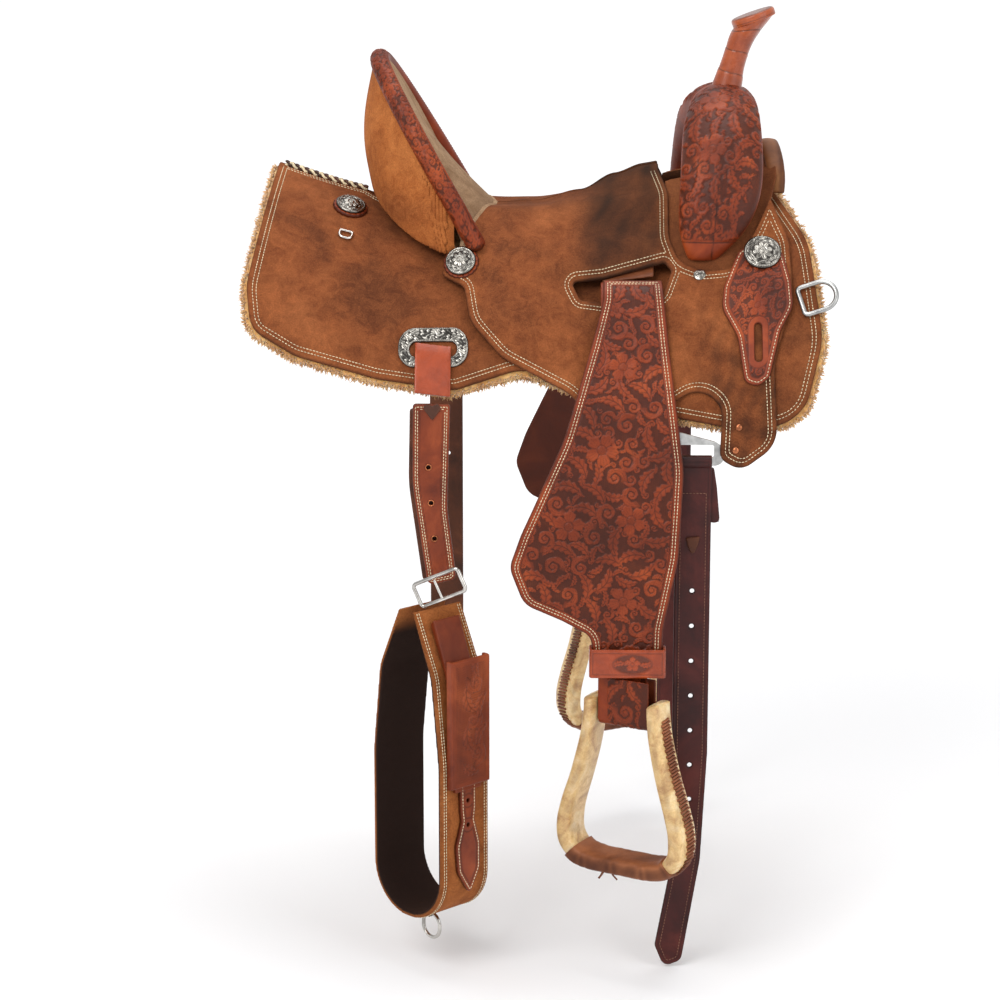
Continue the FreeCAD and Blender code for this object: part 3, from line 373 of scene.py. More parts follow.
def sheet(name, face, loops, material, thick, spacing=5, levels=0, relief=None, shade=None,
          edge=1.6, free=None, back=0.75):
    """A closed sheet of leather on a face: its outer side rounded at the edges and raised by relief(u, v), its
    under side given the fixed stored shade back, a painted shade for inner faces that lie in shadow.
    """
    verts, faces = flat_mesh(loops, spacing)
    verts, faces = refined(verts, faces, levels)
    distance = edge_distance(verts, loops, free)
    drop = np.where(distance < edge, edge - np.sqrt(np.maximum(edge ** 2 - (edge - distance) ** 2, 0)), 0)
    lift, dark = np.zeros(len(verts)), np.zeros(len(verts))
    if relief is not None:
        lift, dark = relief(verts[:, 0], verts[:, 1], distance)
    if shade is not None:
        dark = np.clip(dark + shade(verts[:, 0], verts[:, 1], distance), 0, 1)
    over = face.place(verts, thick + lift - drop)
    under = face.place(verts, 0.0)
    count = len(verts)
    border = border_edges(faces)
    walls = [(a, a + count, b + count) for a, b in border] + [(a, b + count, b) for a, b in border]
    both = np.vstack([faces, faces[:, ::-1] + count, np.array(walls).reshape(-1, 3)])
    # Painted shade: the under side gets the fixed dark stored shade back, as for the far fender's shadowed
    # inner side.
    thing = solid(name, np.vstack([over, under]), both, material,
                  shade=np.concatenate([dark, np.full(count, back)]))
    outward(thing)
    return thing


def border_edges(faces):
    """Directed edges used by one triangle only."""
    edges = np.concatenate([faces[:, [0, 1]], faces[:, [1, 2]], faces[:, [2, 0]]])
    _, index, counts = np.unique(np.sort(edges, axis=1), axis=0, return_inverse=True, return_counts=True)
    return edges[counts[index.ravel()] == 1]


def outward(thing):
    """Make every face of a closed mesh look outwards."""
    work = bmesh.new()
    work.from_mesh(thing.data)
    bmesh.ops.recalc_face_normals(work, faces=work.faces)
    work.to_mesh(thing.data)
    work.free()


def softened(name, node, material, voxel, rounds, push=None):
    """A CAD node's copy, remeshed finely with rounded edges, then pushed along its normals by push(points)."""
    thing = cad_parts[node].copy()
    thing.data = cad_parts[node].data.copy()
    thing.name = name
    thing.parent = None
    for key in list(thing.keys()):
        del thing[key]
    bpy.context.scene.collection.objects.link(thing)
    remesh = thing.modifiers.new("remesh", "REMESH")
    remesh.mode, remesh.voxel_size = "VOXEL", voxel * MM
    rounding = thing.modifiers.new("rounding", "SMOOTH")
    rounding.iterations = rounds
    apply_all(thing)
    mesh = thing.data
    mesh.materials.clear()
    mesh.materials.append(material)
    mesh.polygons.foreach_set("use_smooth", np.ones(len(mesh.polygons), bool))
    points, normals = read_points(thing)
    dark = np.zeros(len(points))
    if push is not None:
        lift, dark = push(points, normals)
        points = points + normals * lift[:, None]
        mesh.vertices.foreach_set("co", (points * MM).ravel())
    mesh.attributes.new("shade", "FLOAT", "POINT").data.foreach_set("value", dark.astype(np.float32))
    mesh.update()
    return thing


def read_points(thing):
    """A mesh's points in millimetres and their normals."""
    count = len(thing.data.vertices)
    points, normals = np.empty(count * 3), np.empty(count * 3)
    thing.data.vertices.foreach_get("co", points)
    thing.data.vertex_normals.foreach_get("vector", normals)
    return points.reshape(-1, 3) / MM, normals.reshape(-1, 3)


def apply_all(thing):
    """Bake an object's modifiers into its mesh."""
    bpy.context.view_layer.update()
    done = bpy.data.meshes.new_from_object(thing.evaluated_get(bpy.context.evaluated_depsgraph_get()))
    thing.modifiers.clear()
    thing.data = done


def ring_faces(count, sides, closed=False):
    """Faces that join rings of points in turn, capped at both ends unless the last meets the first."""
    faces = []
    for i in range(count if closed else count - 1):
        j = (i + 1) % count
        for k in range(sides):
            n = (k + 1) % sides
            faces.append((i * sides + k, i * sides + n, j * sides + n, j * sides + k))
    if not closed:
        faces += [tuple(range(sides))[::-1], tuple((count - 1) * sides + k for k in range(sides))]
    return faces


def bar(name, points, material, shade):
    """A closed bar through a grid of points, one row to each ring."""
    thing = solid(name, points.reshape(-1, 3), ring_faces(*points.shape[:2]), material, shade=shade.ravel())
    outward(thing)
    return thing


def tube(name, path, radius, material, sides=8, closed=False, flat=1.0):
    """A round or flattened tube along millimetre points; radius may vary along it."""
    path = np.asarray(path, float)
    count = len(path)
    radius = np.broadcast_to(radius, count)
    way = np.roll(path, -1, axis=0) - np.roll(path, 1, axis=0) if closed else np.gradient(path, axis=0)
    way = unit(way)
    across = unit(np.cross(way, [0.31, 0.17, 0.94]))
    up = np.cross(across, way)
    turns = np.linspace(0, 2 * math.pi, sides, endpoint=False)
    rings = (path[:, None] + radius[:, None, None] * (np.cos(turns)[None, :, None] * across[:, None]
             + flat * np.sin(turns)[None, :, None] * up[:, None]))
    return solid(name, rings.reshape(-1, 3), ring_faces(count, sides, closed), material)


# ---------------------------------------------------------------- stitches

def capsule(length, width, tall):
    """Points and faces of one stitch along X, half sunk in the leather."""
    points, faces = [(-length / 2, 0, 0)], []
    for share, fat in ((-0.36, 0.75), (0.0, 1.0), (0.36, 0.75)):
        for k in range(5):
            turn = 2 * math.pi * k / 5
            points.append((share * length, fat * width / 2 * math.cos(turn), fat * tall * math.sin(turn)))
    points.append((length / 2, 0, 0))
    for k in range(5):
        n = (k + 1) % 5
        faces.append((0, 1 + n, 1 + k))
        for ring in (1, 6):
            faces.append((ring + k, ring + n, ring + 5 + n))
            faces.append((ring + k, ring + 5 + n, ring + 5 + k))
        faces.append((16, 11 + k, 11 + n))
    return np.array(points), np.array(faces)


STITCH = capsule(3.3, 1.15, 0.75)


def stitches(name, face, runs, material, lift, pitch=4.0):
    """Rows of stitches along runs of flat points on a face."""
    centres, ways = [], []
    for run in runs:
        if lengths_along(run)[-1] < pitch * 2:
            continue
        line = resampled(run, pitch / 2, closed=False)
        centres.append(line[1:-1:2])
        ways.append((line[2::2] - line[:-2:2])[:len(line[1:-1:2])])
    centres, ways = np.vstack(centres), unit(np.vstack(ways))
    middle = face.place(centres, lift)
    ahead = face.place(centres + ways * 0.5, lift) - middle
    above = face.place(centres, lift + 0.5) - middle
    along = unit(ahead)
    up = unit(above - (above * along).sum(1)[:, None] * along)
    across = np.cross(up, along)
    points, faces = STITCH
    placed = (middle[:, None] + points[None, :, 0, None] * along[:, None]
              + points[None, :, 1, None] * across[:, None] + points[None, :, 2, None] * up[:, None])
    index = faces[None] + (np.arange(len(middle)) * len(points))[:, None, None]
    return solid(name, placed.reshape(-1, 3), index.reshape(-1, 3), material)


def edge_stitches(name, face, loops, material, lift, distances, free=None, only=None):
    """Rows of stitches at distances inside an outline and its holes."""
    runs = []
    for distance in distances:
        for loop in loops:
            for run in inset(loop, distance, loops, free):
                parts = [run]
                if only is not None:
                    keep = np.flatnonzero(only(run))
                    parts = [run[part] for part in np.split(keep, np.flatnonzero(np.diff(keep) > 1) + 1)]
                runs += [part for part in parts if len(part) > 4]
    return stitches(name, face, runs, material, lift)


# ---------------------------------------------------------------- tooling relief

def smooth(value):
    """An eased 0 to 1 step."""
    value = np.clip(value, 0, 1)
    return value * value * (3 - 2 * value)


class Tooling:
    """A carved floral relief: flowers and scrolls raised on a dark stippled ground."""

    def __init__(self, depth=1.0):
        self.depth = depth
        self.motifs = []

    def flower(self, u, v, radius, turn=0.0):
        self.motifs.append(("flower", u, v, radius, turn))
        return self

    def scroll(self, u, v, radius, turn, hand=1):
        self.motifs.append(("scroll", u, v, radius, turn, hand))
        return self

    def leaf(self, u, v, length, turn):
        self.motifs.append(("leaf", u, v, length, turn))
        return self

    def fill(self, loop, gap, sizes, seed, keep_out=()):
        """Scatter scrolls and leaves over an outline, largest first, leaves curling round their neighbours."""
        rng = np.random.default_rng(seed)
        low, high = loop.min(0), loop.max(0)
        taken = [(m[1], m[2], m[3] * 0.95) for m in self.motifs] + list(keep_out)
        for size in sizes:
            spots = rng.uniform(low, high, (int((high - low).prod() / size ** 2 * 12), 2))
            spots = spots[inside(spots, loop)]
            spots = spots[edge_distance(spots, [loop]) > gap + size * 0.62]
            for u, v in spots:
                if not all(math.hypot(u - a, v - b) > (r + size) * 0.76 for a, b, r in taken):
                    continue
                near = min(taken, key=lambda t: math.hypot(u - t[0], v - t[1]) - t[2], default=(u, v - 1, 1))
                taken.append((u, v, size))
                along = math.atan2(v - near[1], u - near[0]) + math.pi / 2
                if rng.uniform() < 0.42:
                    self.scroll(u, v, size * 1.06, along, rng.choice([-1, 1]))
                else:
                    self.leaf(u, v, size * 1.28, along + rng.uniform(-0.3, 0.3))
        return self

    def relief(self, u, v):
        """Height from 0, the ground, to the depth, and darkness from 0 to 1."""
        height, line = np.zeros(len(u)), np.zeros(len(u))
        draws = {"flower": flower_height, "scroll": scroll_height, "leaf": leaf_height}
        for motif in self.motifs:
            reach = motif[3] * 1.35
            near = np.flatnonzero((abs(u - motif[1]) < reach) & (abs(v - motif[2]) < reach))
            if len(near) == 0:
                continue
            new, cuts = draws[motif[0]](u[near] - motif[1], v[near] - motif[2], *motif[3:])
            over = new > height[near]
            height[near] = np.where(over, new, height[near])
            line[near] = np.where(over, cuts, line[near])
        pebble = 0.5 + 0.5 * np.sin(u * 4.3 + 1.3 * np.sin(v * 2.1)) * np.sin(v * 4.1 + 1.1 * np.sin(u * 1.7))
        ground = smooth(1 - height * 5)
        rolled = 0.5 * smooth(1 - (height - 0.2) * 2.4)
        dark = np.maximum(ground * (0.76 + 0.2 * pebble), np.maximum(rolled, 0.9 * line))
        return self.depth * (np.maximum(height, 0.10 * pebble) - 0.22 * line), dark


def flower_height(u, v, radius, turn):
    """A five-petal flower with cupped, creased petals and a beaded middle: its height and its cut lines."""
    reach, phi = np.hypot(u, v), np.arctan2(v, u) - turn
    fifth = np.abs(np.cos(2.5 * phi))
    rim = radius * (0.56 + 0.44 * fifth ** 0.6) * (1 + 0.045 * np.cos(phi * 15))
    inner = smooth((rim - reach) / (0.10 * radius))
    share = reach / rim
    cup = 0.45 + 0.55 * smooth(share * 1.1)
    petals = inner * cup * (0.3 + 0.7 * smooth(fifth * 5))
    veins = smooth(1 - np.abs(np.sin(phi * 12.5)) * 2.6) * (share > 0.34) * (share < 0.86)
    creases = smooth(1 - np.abs(np.sin((phi + math.pi / 5) * 2.5)) * 7)
    boss = smooth((0.25 * radius - reach) / (0.06 * radius))
    beads = smooth(0.4 - np.cos(phi * 8) * np.cos(reach * 9 / radius * 3))
    ring = 1 - smooth(np.abs(reach - 0.28 * radius) / (0.05 * radius))
    line = np.where(boss > 0.3, 0.6 * beads, np.maximum(0.62 * veins, 0.8 * creases * (share > 0.3)))
    return np.clip(np.maximum(petals * (1 - 0.8 * ring), boss * 0.95), 0, 1), np.clip(line, 0, 1)


def scroll_height(u, v, radius, turn, hand):
    """A curled acanthus scroll: a broad tapering spiral, fluted along its length, with leaf lobes outside."""
    reach, phi = np.hypot(u, v), (np.arctan2(v, u) - turn) * hand
    best, line = np.zeros(len(u)), np.zeros(len(u))
    for lap in range(3):
        theta = np.mod(phi, 2 * math.pi) + 2 * math.pi * lap
        middle = radius * 0.84 * np.exp(-0.17 * theta)
        width = radius * 0.30 * np.exp(-0.15 * theta) * (1 + 0.16 * np.cos(theta * 4.5))
        across = (reach - middle) / np.maximum(width, 1e-6)
        taper = smooth(theta * 1.3) * smooth((5.0 * math.pi - theta) * 2)
        body = smooth((1 - np.abs(across)) * 3.2) * (0.74 + 0.26 * across) * taper
        flutes = smooth(1 - np.abs(np.mod(across * 1.6 + 0.5, 1) - 0.5) * 7)
        over = body > best
        line = np.where(over, 0.75 * flutes * (body > 0.3), line)
        best = np.maximum(best, body)
    centre = smooth((0.15 * radius - reach) / (0.05 * radius)) * 0.95
    return np.clip(np.maximum(best, centre), 0, 1), line


def leaf_height(u, v, length, turn):
    """A bent lobed leaf with a midrib and side veins."""
    along = (u * math.cos(turn) + v * math.sin(turn)) / length
    across = (v * math.cos(turn) - u * math.sin(turn)) / length + 0.42 * along ** 2 - 0.12
    width = 0.36 * np.clip(1 - along ** 2, 0, 1) ** 0.75 * (1 + 0.16 * np.cos(along * 17))
    body = smooth((width - np.abs(across)) / 0.07) * (0.72 + 0.28 * np.abs(across) / 0.36)
    rib = smooth(1 - np.abs(across) / 0.05)
    veins = smooth(1 - np.abs(np.sin((along + 1.1 * np.abs(across)) * 8)) * 2.2)
    return np.clip(body, 0, 1), np.clip(np.maximum(rib, 0.85 * veins) * (body > 0.25), 0, 1)


# ---------------------------------------------------------------- materials

def shader(name, rough, metal=0.0, **settings):
    """A material with its principled shader; further sockets are set by name."""
    material = bpy.data.materials.new(name)
    material.use_nodes = True
    nodes = material.node_tree.nodes
    main = nodes["Principled BSDF"]
    main.inputs["Roughness"].default_value = rough
    main.inputs["Metallic"].default_value = metal
    for key, value in settings.items():
        main.inputs[key.replace("_", " ")].default_value = value
    return material, nodes, material.node_tree.links, main


def noise(nodes, links, where, scale, detail=4.0, rough=0.6, warp=0.0):
    """A noise texture in metres of the object's own frame."""
    texture = nodes.new("ShaderNodeTexNoise")
    texture.inputs["Scale"].default_value = scale
    texture.inputs["Detail"].default_value = detail
    texture.inputs["Roughness"].default_value = rough
    texture.inputs["Distortion"].default_value = warp
    links.new(where, texture.inputs["Vector"])
    return texture.outputs["Fac"]


def ramp(nodes, links, value, stops):
    """A colour ramp through (place, colour) stops."""
    node = nodes.new("ShaderNodeValToRGB")
    while len(node.color_ramp.elements) < len(stops):
        node.color_ramp.elements.new(0.5)
    for element, (place, colour) in zip(node.color_ramp.elements, stops):
        element.position = place
        element.color = linear(colour) if len(colour) == 3 else colour
    links.new(value, node.inputs["Fac"])
    return node.outputs["Color"]


def linear(colour):
    """An sRGB colour from 0 to 255 as a linear RGBA value."""
    result = []
    for part in colour:
        part = part / 255
        result.append(part / 12.92 if part <= 0.04045 else ((part + 0.055) / 1.055) ** 2.4)
    return (*result, 1.0)


def mixed(nodes, links, share, first, second, mode="MIX"):
    """Two colours mixed by a share; either may be a socket or an sRGB colour."""
    mix = nodes.new("ShaderNodeMix")
    mix.data_type, mix.blend_type = "RGBA", mode
    for value, socket in ((share, mix.inputs[0]), (first, mix.inputs[6]), (second, mix.inputs[7])):
        if isinstance(value, (int, float)):
            socket.default_value = value
        elif isinstance(value, tuple):
            socket.default_value = linear(value)
        else:
            links.new(value, socket)
    return mix.outputs[2]


def math_node(nodes, links, operation, first, second):
    """A maths node on sockets or numbers."""
    node = nodes.new("ShaderNodeMath")
    node.operation = operation
    for value, socket in zip((first, second), node.inputs):
        if isinstance(value, (int, float)):
            socket.default_value = value
        else:
            links.new(value, socket)
    return node.outputs[0]


def bumped(nodes, links, main, layers):
    """Stack (height socket, distance in metres) layers as bump on the shader."""
    last = None
    for height, distance in layers:
        bump = nodes.new("ShaderNodeBump")
        bump.inputs["Distance"].default_value = distance
        bump.inputs["Strength"].default_value = 1.0
        links.new(height, bump.inputs["Height"])
        if last is not None:
            links.new(last, bump.inputs["Normal"])
        last = bump.outputs["Normal"]
    links.new(last, main.inputs["Normal"])


def object_place(nodes):
    return nodes.new("ShaderNodeTexCoord").outputs["Object"]


def stored_shade(nodes):
    node = nodes.new("ShaderNodeAttribute")
    node.attribute_name = "shade"
    return node.outputs["Fac"]


def suede(name, light, middle, dark, stain_and_shade=(58, 38, 26)):
    """Roughout leather: a short brushed nap with light and dark drifts, darker where the stored shade says, for
    real stains and for painted shade.
    """
    material, nodes, links, main = shader(name, 0.92)
    main.inputs["Sheen Weight"].default_value = 0.1
    main.inputs["Specular IOR Level"].default_value = 0.15
    main.inputs["Sheen Roughness"].default_value = 0.5
    main.inputs["Sheen Tint"].default_value = linear(light)
    where = object_place(nodes)
    drift = noise(nodes, links, where, 9, 5, 0.6, 0.4)
    brushed = noise(nodes, links, where, 46, 6, 0.7, 1.2)
    nap = noise(nodes, links, where, 620, 3, 0.7)
    base = ramp(nodes, links, drift, [(0.34, dark), (0.5, middle), (0.68, light)])
    spots = ramp(nodes, links, brushed, [(0.36, (0, 0, 0)), (0.62, (255, 255, 255))])
    base = mixed(nodes, links, 0.34, base, mixed(nodes, links, spots, dark, light))
    grain = ramp(nodes, links, nap, [(0.3, (60, 60, 60)), (0.7, (205, 205, 205))])
    base = mixed(nodes, links, 0.42, base, grain, "OVERLAY")
    links.new(mixed(nodes, links, stored_shade(nodes), base, stain_and_shade), main.inputs["Base Color"])
    bumped(nodes, links, main, [(brushed, 0.0007), (nap, 0.0005)])
    return material


def smooth_leather(name, light, middle, dark, rough=0.42, ground=(54, 21, 8), coat=0.06):
    """Finished leather: fine grain and rubbed tones, with dark antiquing, and painted shade on the under sides
    of sheets, where the stored shade says.
    """
    material, nodes, links, main = shader(name, rough)
    main.inputs["Coat Weight"].default_value = coat
    main.inputs["Coat Roughness"].default_value = 0.3
    main.inputs["Specular IOR Level"].default_value = 0.2
    where = object_place(nodes)
    drift = noise(nodes, links, where, 14, 5, 0.6, 0.6)
    rub = noise(nodes, links, where, 90, 5, 0.7, 0.8)
    base = ramp(nodes, links, drift, [(0.34, dark), (0.52, middle), (0.68, light)])
    rubbed = ramp(nodes, links, rub, [(0.42, (0, 0, 0)), (0.75, (110, 110, 110))])
    base = mixed(nodes, links, rubbed, base, light)
    # The stored shade pulls toward ground: antiquing in the carving, and painted shade on sheet under sides.
    links.new(mixed(nodes, links, stored_shade(nodes), base, ground), main.inputs["Base Color"])
    cells = nodes.new("ShaderNodeTexVoronoi")
    cells.feature = "DISTANCE_TO_EDGE"
    cells.inputs["Scale"].default_value = 1300
    links.new(where, cells.inputs["Vector"])
    wear = math_node(nodes, links, "MULTIPLY_ADD", rub, 0.30)
    wear.node.inputs[2].default_value = rough - 0.15
    links.new(wear, main.inputs["Roughness"])
    bumped(nodes, links, main, [(cells.outputs["Distance"], 0.00010), (rub, 0.00025)])
    return material


def wool(name):
    """Golden fleece, paler at the tips of its locks."""
    material, nodes, links, main = shader(name, 0.95)
    main.inputs["Sheen Weight"].default_value = 0.6
    main.inputs["Sheen Roughness"].default_value = 0.6
    main.inputs["Subsurface Weight"].default_value = 0.12
    main.inputs["Subsurface Radius"].default_value = (0.004, 0.002, 0.001)
    where = object_place(nodes)
    base = ramp(nodes, links, noise(nodes, links, where, 60, 5, 0.7),
                [(0.3, (186, 122, 52)), (0.5, (226, 168, 88)), (0.7, (246, 208, 140))])
    links.new(mixed(nodes, links, stored_shade(nodes), base, (128, 78, 34)), main.inputs["Base Color"])
    bumped(nodes, links, main, [(noise(nodes, links, where, 420, 4, 0.8), 0.001)])
    return material


def rawhide(name):
    """Pale translucent rawhide with amber stains and a dull gloss."""
    material, nodes, links, main = shader(name, 0.38)
    main.inputs["Coat Weight"].default_value = 0.25
    main.inputs["Coat Roughness"].default_value = 0.35
    main.inputs["Subsurface Weight"].default_value = 0.15
    main.inputs["Subsurface Radius"].default_value = (0.006, 0.003, 0.0015)
    where = object_place(nodes)
    drift = noise(nodes, links, where, 24, 6, 0.65, 1.5)
    streak = noise(nodes, links, where, 150, 4, 0.7, 2.0)
    base = ramp(nodes, links, drift, [(0.32, (166, 112, 54)), (0.5, (222, 184, 120)), (0.7, (240, 217, 170))])
    streaked = ramp(nodes, links, streak, [(0.35, (120, 76, 36)), (0.6, (236, 214, 170))])
    base = mixed(nodes, links, 0.2, base, streaked)
    links.new(mixed(nodes, links, stored_shade(nodes), base, (104, 62, 28)), main.inputs["Base Color"])
    bumped(nodes, links, main, [(streak, 0.0003), (noise(nodes, links, where, 700, 3, 0.6), 0.00008)])
    return material


def thread(name, colour=(232, 214, 176)):
    """Waxed cream thread."""
    material, nodes, links, main = shader(name, 0.6)
    where = object_place(nodes)
    tone = noise(nodes, links, where, 160, 3, 0.6)
    links.new(ramp(nodes, links, tone, [(0.35, tuple(0.74 * c for c in colour)), (0.6, colour)]),
              main.inputs["Base Color"])
    bumped(nodes, links, main, [(noise(nodes, links, where, 2400, 2, 0.5), 0.0002)])
    return material


def engraved_silver(name):
    """Bright silver with black in its cuts, where the stored shade says."""
    material, nodes, links, main = shader(name, 0.26, 1.0)
    where = object_place(nodes)
    haze = noise(nodes, links, where, 120, 5, 0.7)
    base = ramp(nodes, links, haze, [(0.35, (104, 100, 94)), (0.6, (176, 172, 164))])
    links.new(mixed(nodes, links, stored_shade(nodes), base, (46, 43, 40)), main.inputs["Base Color"])
    links.new(ramp(nodes, links, haze, [(0.3, (95, 95, 95)), (0.7, (150, 150, 150))]), main.inputs["Roughness"])
    bumped(nodes, links, main, [(noise(nodes, links, where, 1500, 3, 0.7), 0.00005)])
    return material


def brushed_metal(name, colour, rough, stretch=(6, 6, 1400)):
    """Metal with fine scratches along one way."""
    material, nodes, links, main = shader(name, rough, 1.0)
    where = object_place(nodes)
    mapping = nodes.new("ShaderNodeMapping")
    mapping.inputs["Scale"].default_value = stretch
    links.new(where, mapping.inputs["Vector"])
    lines = noise(nodes, links, mapping.outputs["Vector"], 1.0, 3, 0.6)
    smudge = noise(nodes, links, where, 45, 4, 0.6)
    dull = tuple(0.72 * c for c in colour)
    links.new(ramp(nodes, links, smudge, [(0.3, dull), (0.62, colour)]), main.inputs["Base Color"])
    bumped(nodes, links, main, [(lines, 0.00004)])
    return material


def plain_wood(name):
    """Bare pale wood of the covered tree."""
    material, nodes, links, main = shader(name, 0.7)
    where = object_place(nodes)
    mapping = nodes.new("ShaderNodeMapping")
    mapping.inputs["Scale"].default_value = (8, 90, 90)
    links.new(where, mapping.inputs["Vector"])
    rings = noise(nodes, links, mapping.outputs["Vector"], 1.0, 6, 0.6, 1.0)
    grain = ramp(nodes, links, rings, [(0.35, (150, 112, 70)), (0.6, (198, 162, 114))])
    links.new(grain, main.inputs["Base Color"])
    bumped(nodes, links, main, [(rings, 0.0003)])
    return material


SUEDE = suede("roughout_suede", (158, 92, 52), (126, 68, 36), (88, 46, 25), stain_and_shade=(34, 24, 18))
BACK_SUEDE = suede("cantle_back_suede", (196, 122, 66), (164, 92, 44), (126, 66, 32), stain_and_shade=(70, 40, 22))
CINCH_SUEDE = suede("cinch_suede", (176, 108, 58), (146, 82, 40), (110, 58, 28), stain_and_shade=(34, 21, 17))
PALE_SUEDE = suede("cantle_face_suede", (184, 154, 122), (156, 124, 94), (120, 90, 64), stain_and_shade=(86, 62, 44))
TOOLED = smooth_leather("tooled_leather", (148, 64, 26), (120, 46, 18), (92, 33, 12), rough=0.46,
                        ground=(46, 18, 7))
HORN = smooth_leather("horn_leather", (176, 88, 46), (146, 66, 32), (104, 42, 20), rough=0.27, coat=0.45)
STRAP = smooth_leather("strap_leather", (150, 88, 54), (118, 66, 40), (86, 46, 28))
BILLET_LEATHER = smooth_leather("billet_leather", (142, 66, 33), (116, 48, 22), (90, 34, 16), rough=0.38)
LOOP_LEATHER = smooth_leather("loop_leather", (178, 80, 36), (150, 60, 25), (118, 44, 18), rough=0.27, coat=0.4)
LATIGO = smooth_leather("latigo_leather", (84, 34, 28), (64, 24, 21), (44, 17, 16), rough=0.42,
                        ground=(24, 10, 9))
TREAD = smooth_leather("tread_leather", (158, 98, 62), (128, 74, 44), (92, 50, 29), rough=0.5)
LIP_LEATHER = smooth_leather("gullet_lip_leather", (150, 98, 56), (122, 74, 40), (92, 52, 28), rough=0.55)
LACE = smooth_leather("lace_leather", (150, 92, 60), (122, 70, 44), (90, 50, 32), rough=0.55)
DARK_STRAP = smooth_leather("dark_strap", (104, 60, 38), (78, 42, 26), (54, 30, 20), rough=0.6)
DARK_LACE = smooth_leather("dark_lace", (98, 60, 42), (72, 42, 30), (50, 30, 22), rough=0.55)
WOOL = wool("fleece_wool")
RAWHIDE = rawhide("stirrup_rawhide")
THREAD = thread("cream_thread")
THREAD_DARK = thread("dark_thread", (128, 84, 62))
SILVER = engraved_silver("engraved_silver")
NICKEL = brushed_metal("nickel", (214, 210, 204), 0.16, (900, 900, 900))
STEEL = brushed_metal("brushed_steel", (190, 190, 188), 0.3)
COPPER = brushed_metal("copper", (190, 116, 78), 0.3, (700, 700, 700))
WOOD = plain_wood("tree_wood")

# ---------------------------------------------------------------- seat and jockeys

SEAT_THICK = 4.6
SEAT_OUTLINE = [(-116, -30, 10), (-112, -54, 10), (-84, -66, 10), (-76, -104, 40), (-36, -146, 60),
                (50, -188, 60), (86, -236, 30), (128, -240, 25), (158, -205, 25), (206, -176, 30),
                (233, -200, 25),
                (230, -262, 14), (256, -276, 22), (300, -244, 40), (296, -150, 80), (320, -70, 40),
                (318, -10, 40), (296, 40, 2), (276, 0, 40), (250, -42, 28), (212, -46, 28), (182, -36, 24),
                (170, -8, 26), (171, 40, 30), (160, 64, 8), (160, 400, 0), (-116, 400, 0)]
SEAT_SLOT = [(48, -60, 5), (60, -81, 7), (92, -84, 10), (160, -76, 9), (173, -46, 6), (164, -36, 5),
             (88, -56, 10)]
SPINE = -RIDGE * DEGREE
SEAT_FACE = Side(lambda x, a: seat_height(x, a) - SEAT_THICK)


def seat_loops():
    """The seat's outline on its face, cut back to its curved rear edge and the spine, and the slot."""
    view = rounded(SEAT_OUTLINE, 2.5)
    flat = Side(seat_height).flat(view)
    depth = np.abs(side_point(0, -flat[:, 1] / DEGREE, 0)[:, 1])
    flat[:, 0] = np.maximum(flat[:, 0], seat_rear(depth))
    flat = spaced(flat, 0.4)
    slot = Side(seat_height).flat(rounded(SEAT_SLOT, 2.0))
    return [resampled(flat, 2.5), slot]


def off_spine(start, end):
    """Whether an outline segment is a real edge and not the join along the spine."""
    return min(start[1], end[1]) < SPINE - 0.3


def seat_shade(u, v, distance):
    """Dark rubbed patches on the rise behind the fork and the seat's front, a greyed top that is partly stain
    and partly painted sheen, pale suede below.
    """
    x, angle = u, -v / DEGREE
    rise = smooth((x - 36) / 52) * smooth((178 - x) / 46 + 0.3) * smooth((54 - angle) / 22)
    wobble = 0.5 + 0.5 * np.sin(x / 13 + 2 * np.sin(angle / 5)) * np.cos(angle / 4.3 + x / 29)
    streaks = 0.5 + 0.5 * np.sin(x / 5.1 + 1.7 * np.sin(angle / 2.2)) * np.sin(angle / 1.6 + x / 11)
    jockey = 0.22 * smooth((x - 150) / 90) * smooth((angle - 44) / 12) * streaks
    groove = 0.35 * smooth((3.2 - distance) / 3.2)
    front = 0.3 * smooth((x - 196) / 30) * smooth((angle - 50) / 12) * streaks
    # top: partly stain and partly a painted stand-in for the grey sheen on the seat's top.
    top = 0.34 * smooth((30 - angle) / 10) * (0.6 + 0.4 * wobble)
    patch = 0.98 * rise * (0.72 + 0.28 * wobble) * (0.85 + 0.15 * streaks)
    return np.clip(np.maximum(patch, top) + jockey + front + groove, 0, 0.95)


def seat():
    """The whole seat leather with both jockeys, one welded sheet, and its double stitching."""
    loops = seat_loops()
    half = sheet("seat_half", SEAT_FACE, loops, SUEDE, SEAT_THICK, spacing=4.5, levels=1,
                 shade=seat_shade, free=off_spine)
    other = twin(half, "seat_other")
    whole = joined("seat_and_jockeys", [half, other])
    work = bmesh.new()
    work.from_mesh(whole.data)
    ridge = [v for v in work.verts if abs(v.co.y) < 0.0004]
    bmesh.ops.remove_doubles(work, verts=ridge, dist=0.0006)
    inner = [f for f in work.faces if all(abs(v.co.y) < 0.0003 for v in f.verts)]
    bmesh.ops.delete(work, geom=inner, context="FACES_ONLY")
    work.to_mesh(whole.data)
    work.free()
    stand_in(whole, "seat_leather")

    def shown(run):
        return (run[:, 1] < SPINE - 14) & ((run[:, 0] > -34) | (run[:, 1] < -38.5 * DEGREE))

    return edge_stitches("seat_stitching_right", SEAT_FACE, loops, THREAD, SEAT_THICK + 0.15, (6.2, 10.6),
                         off_spine, shown)


def on_body(thing, body="tree"):
    """Ride the tree, or another body."""
    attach(thing, body)
    return thing


def stand_in(thing, node, body="tree"):
    """A piece that is shown in a CAD node's place."""
    on_body(thing, body)
    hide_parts(node)


def remade(name, node, material, voxel, rounds, push=None, body="tree"):
    """A CAD node's softened copy, shown in its place."""
    thing = softened(name, node, material, voxel, rounds, push)
    stand_in(thing, node, body)
    return thing


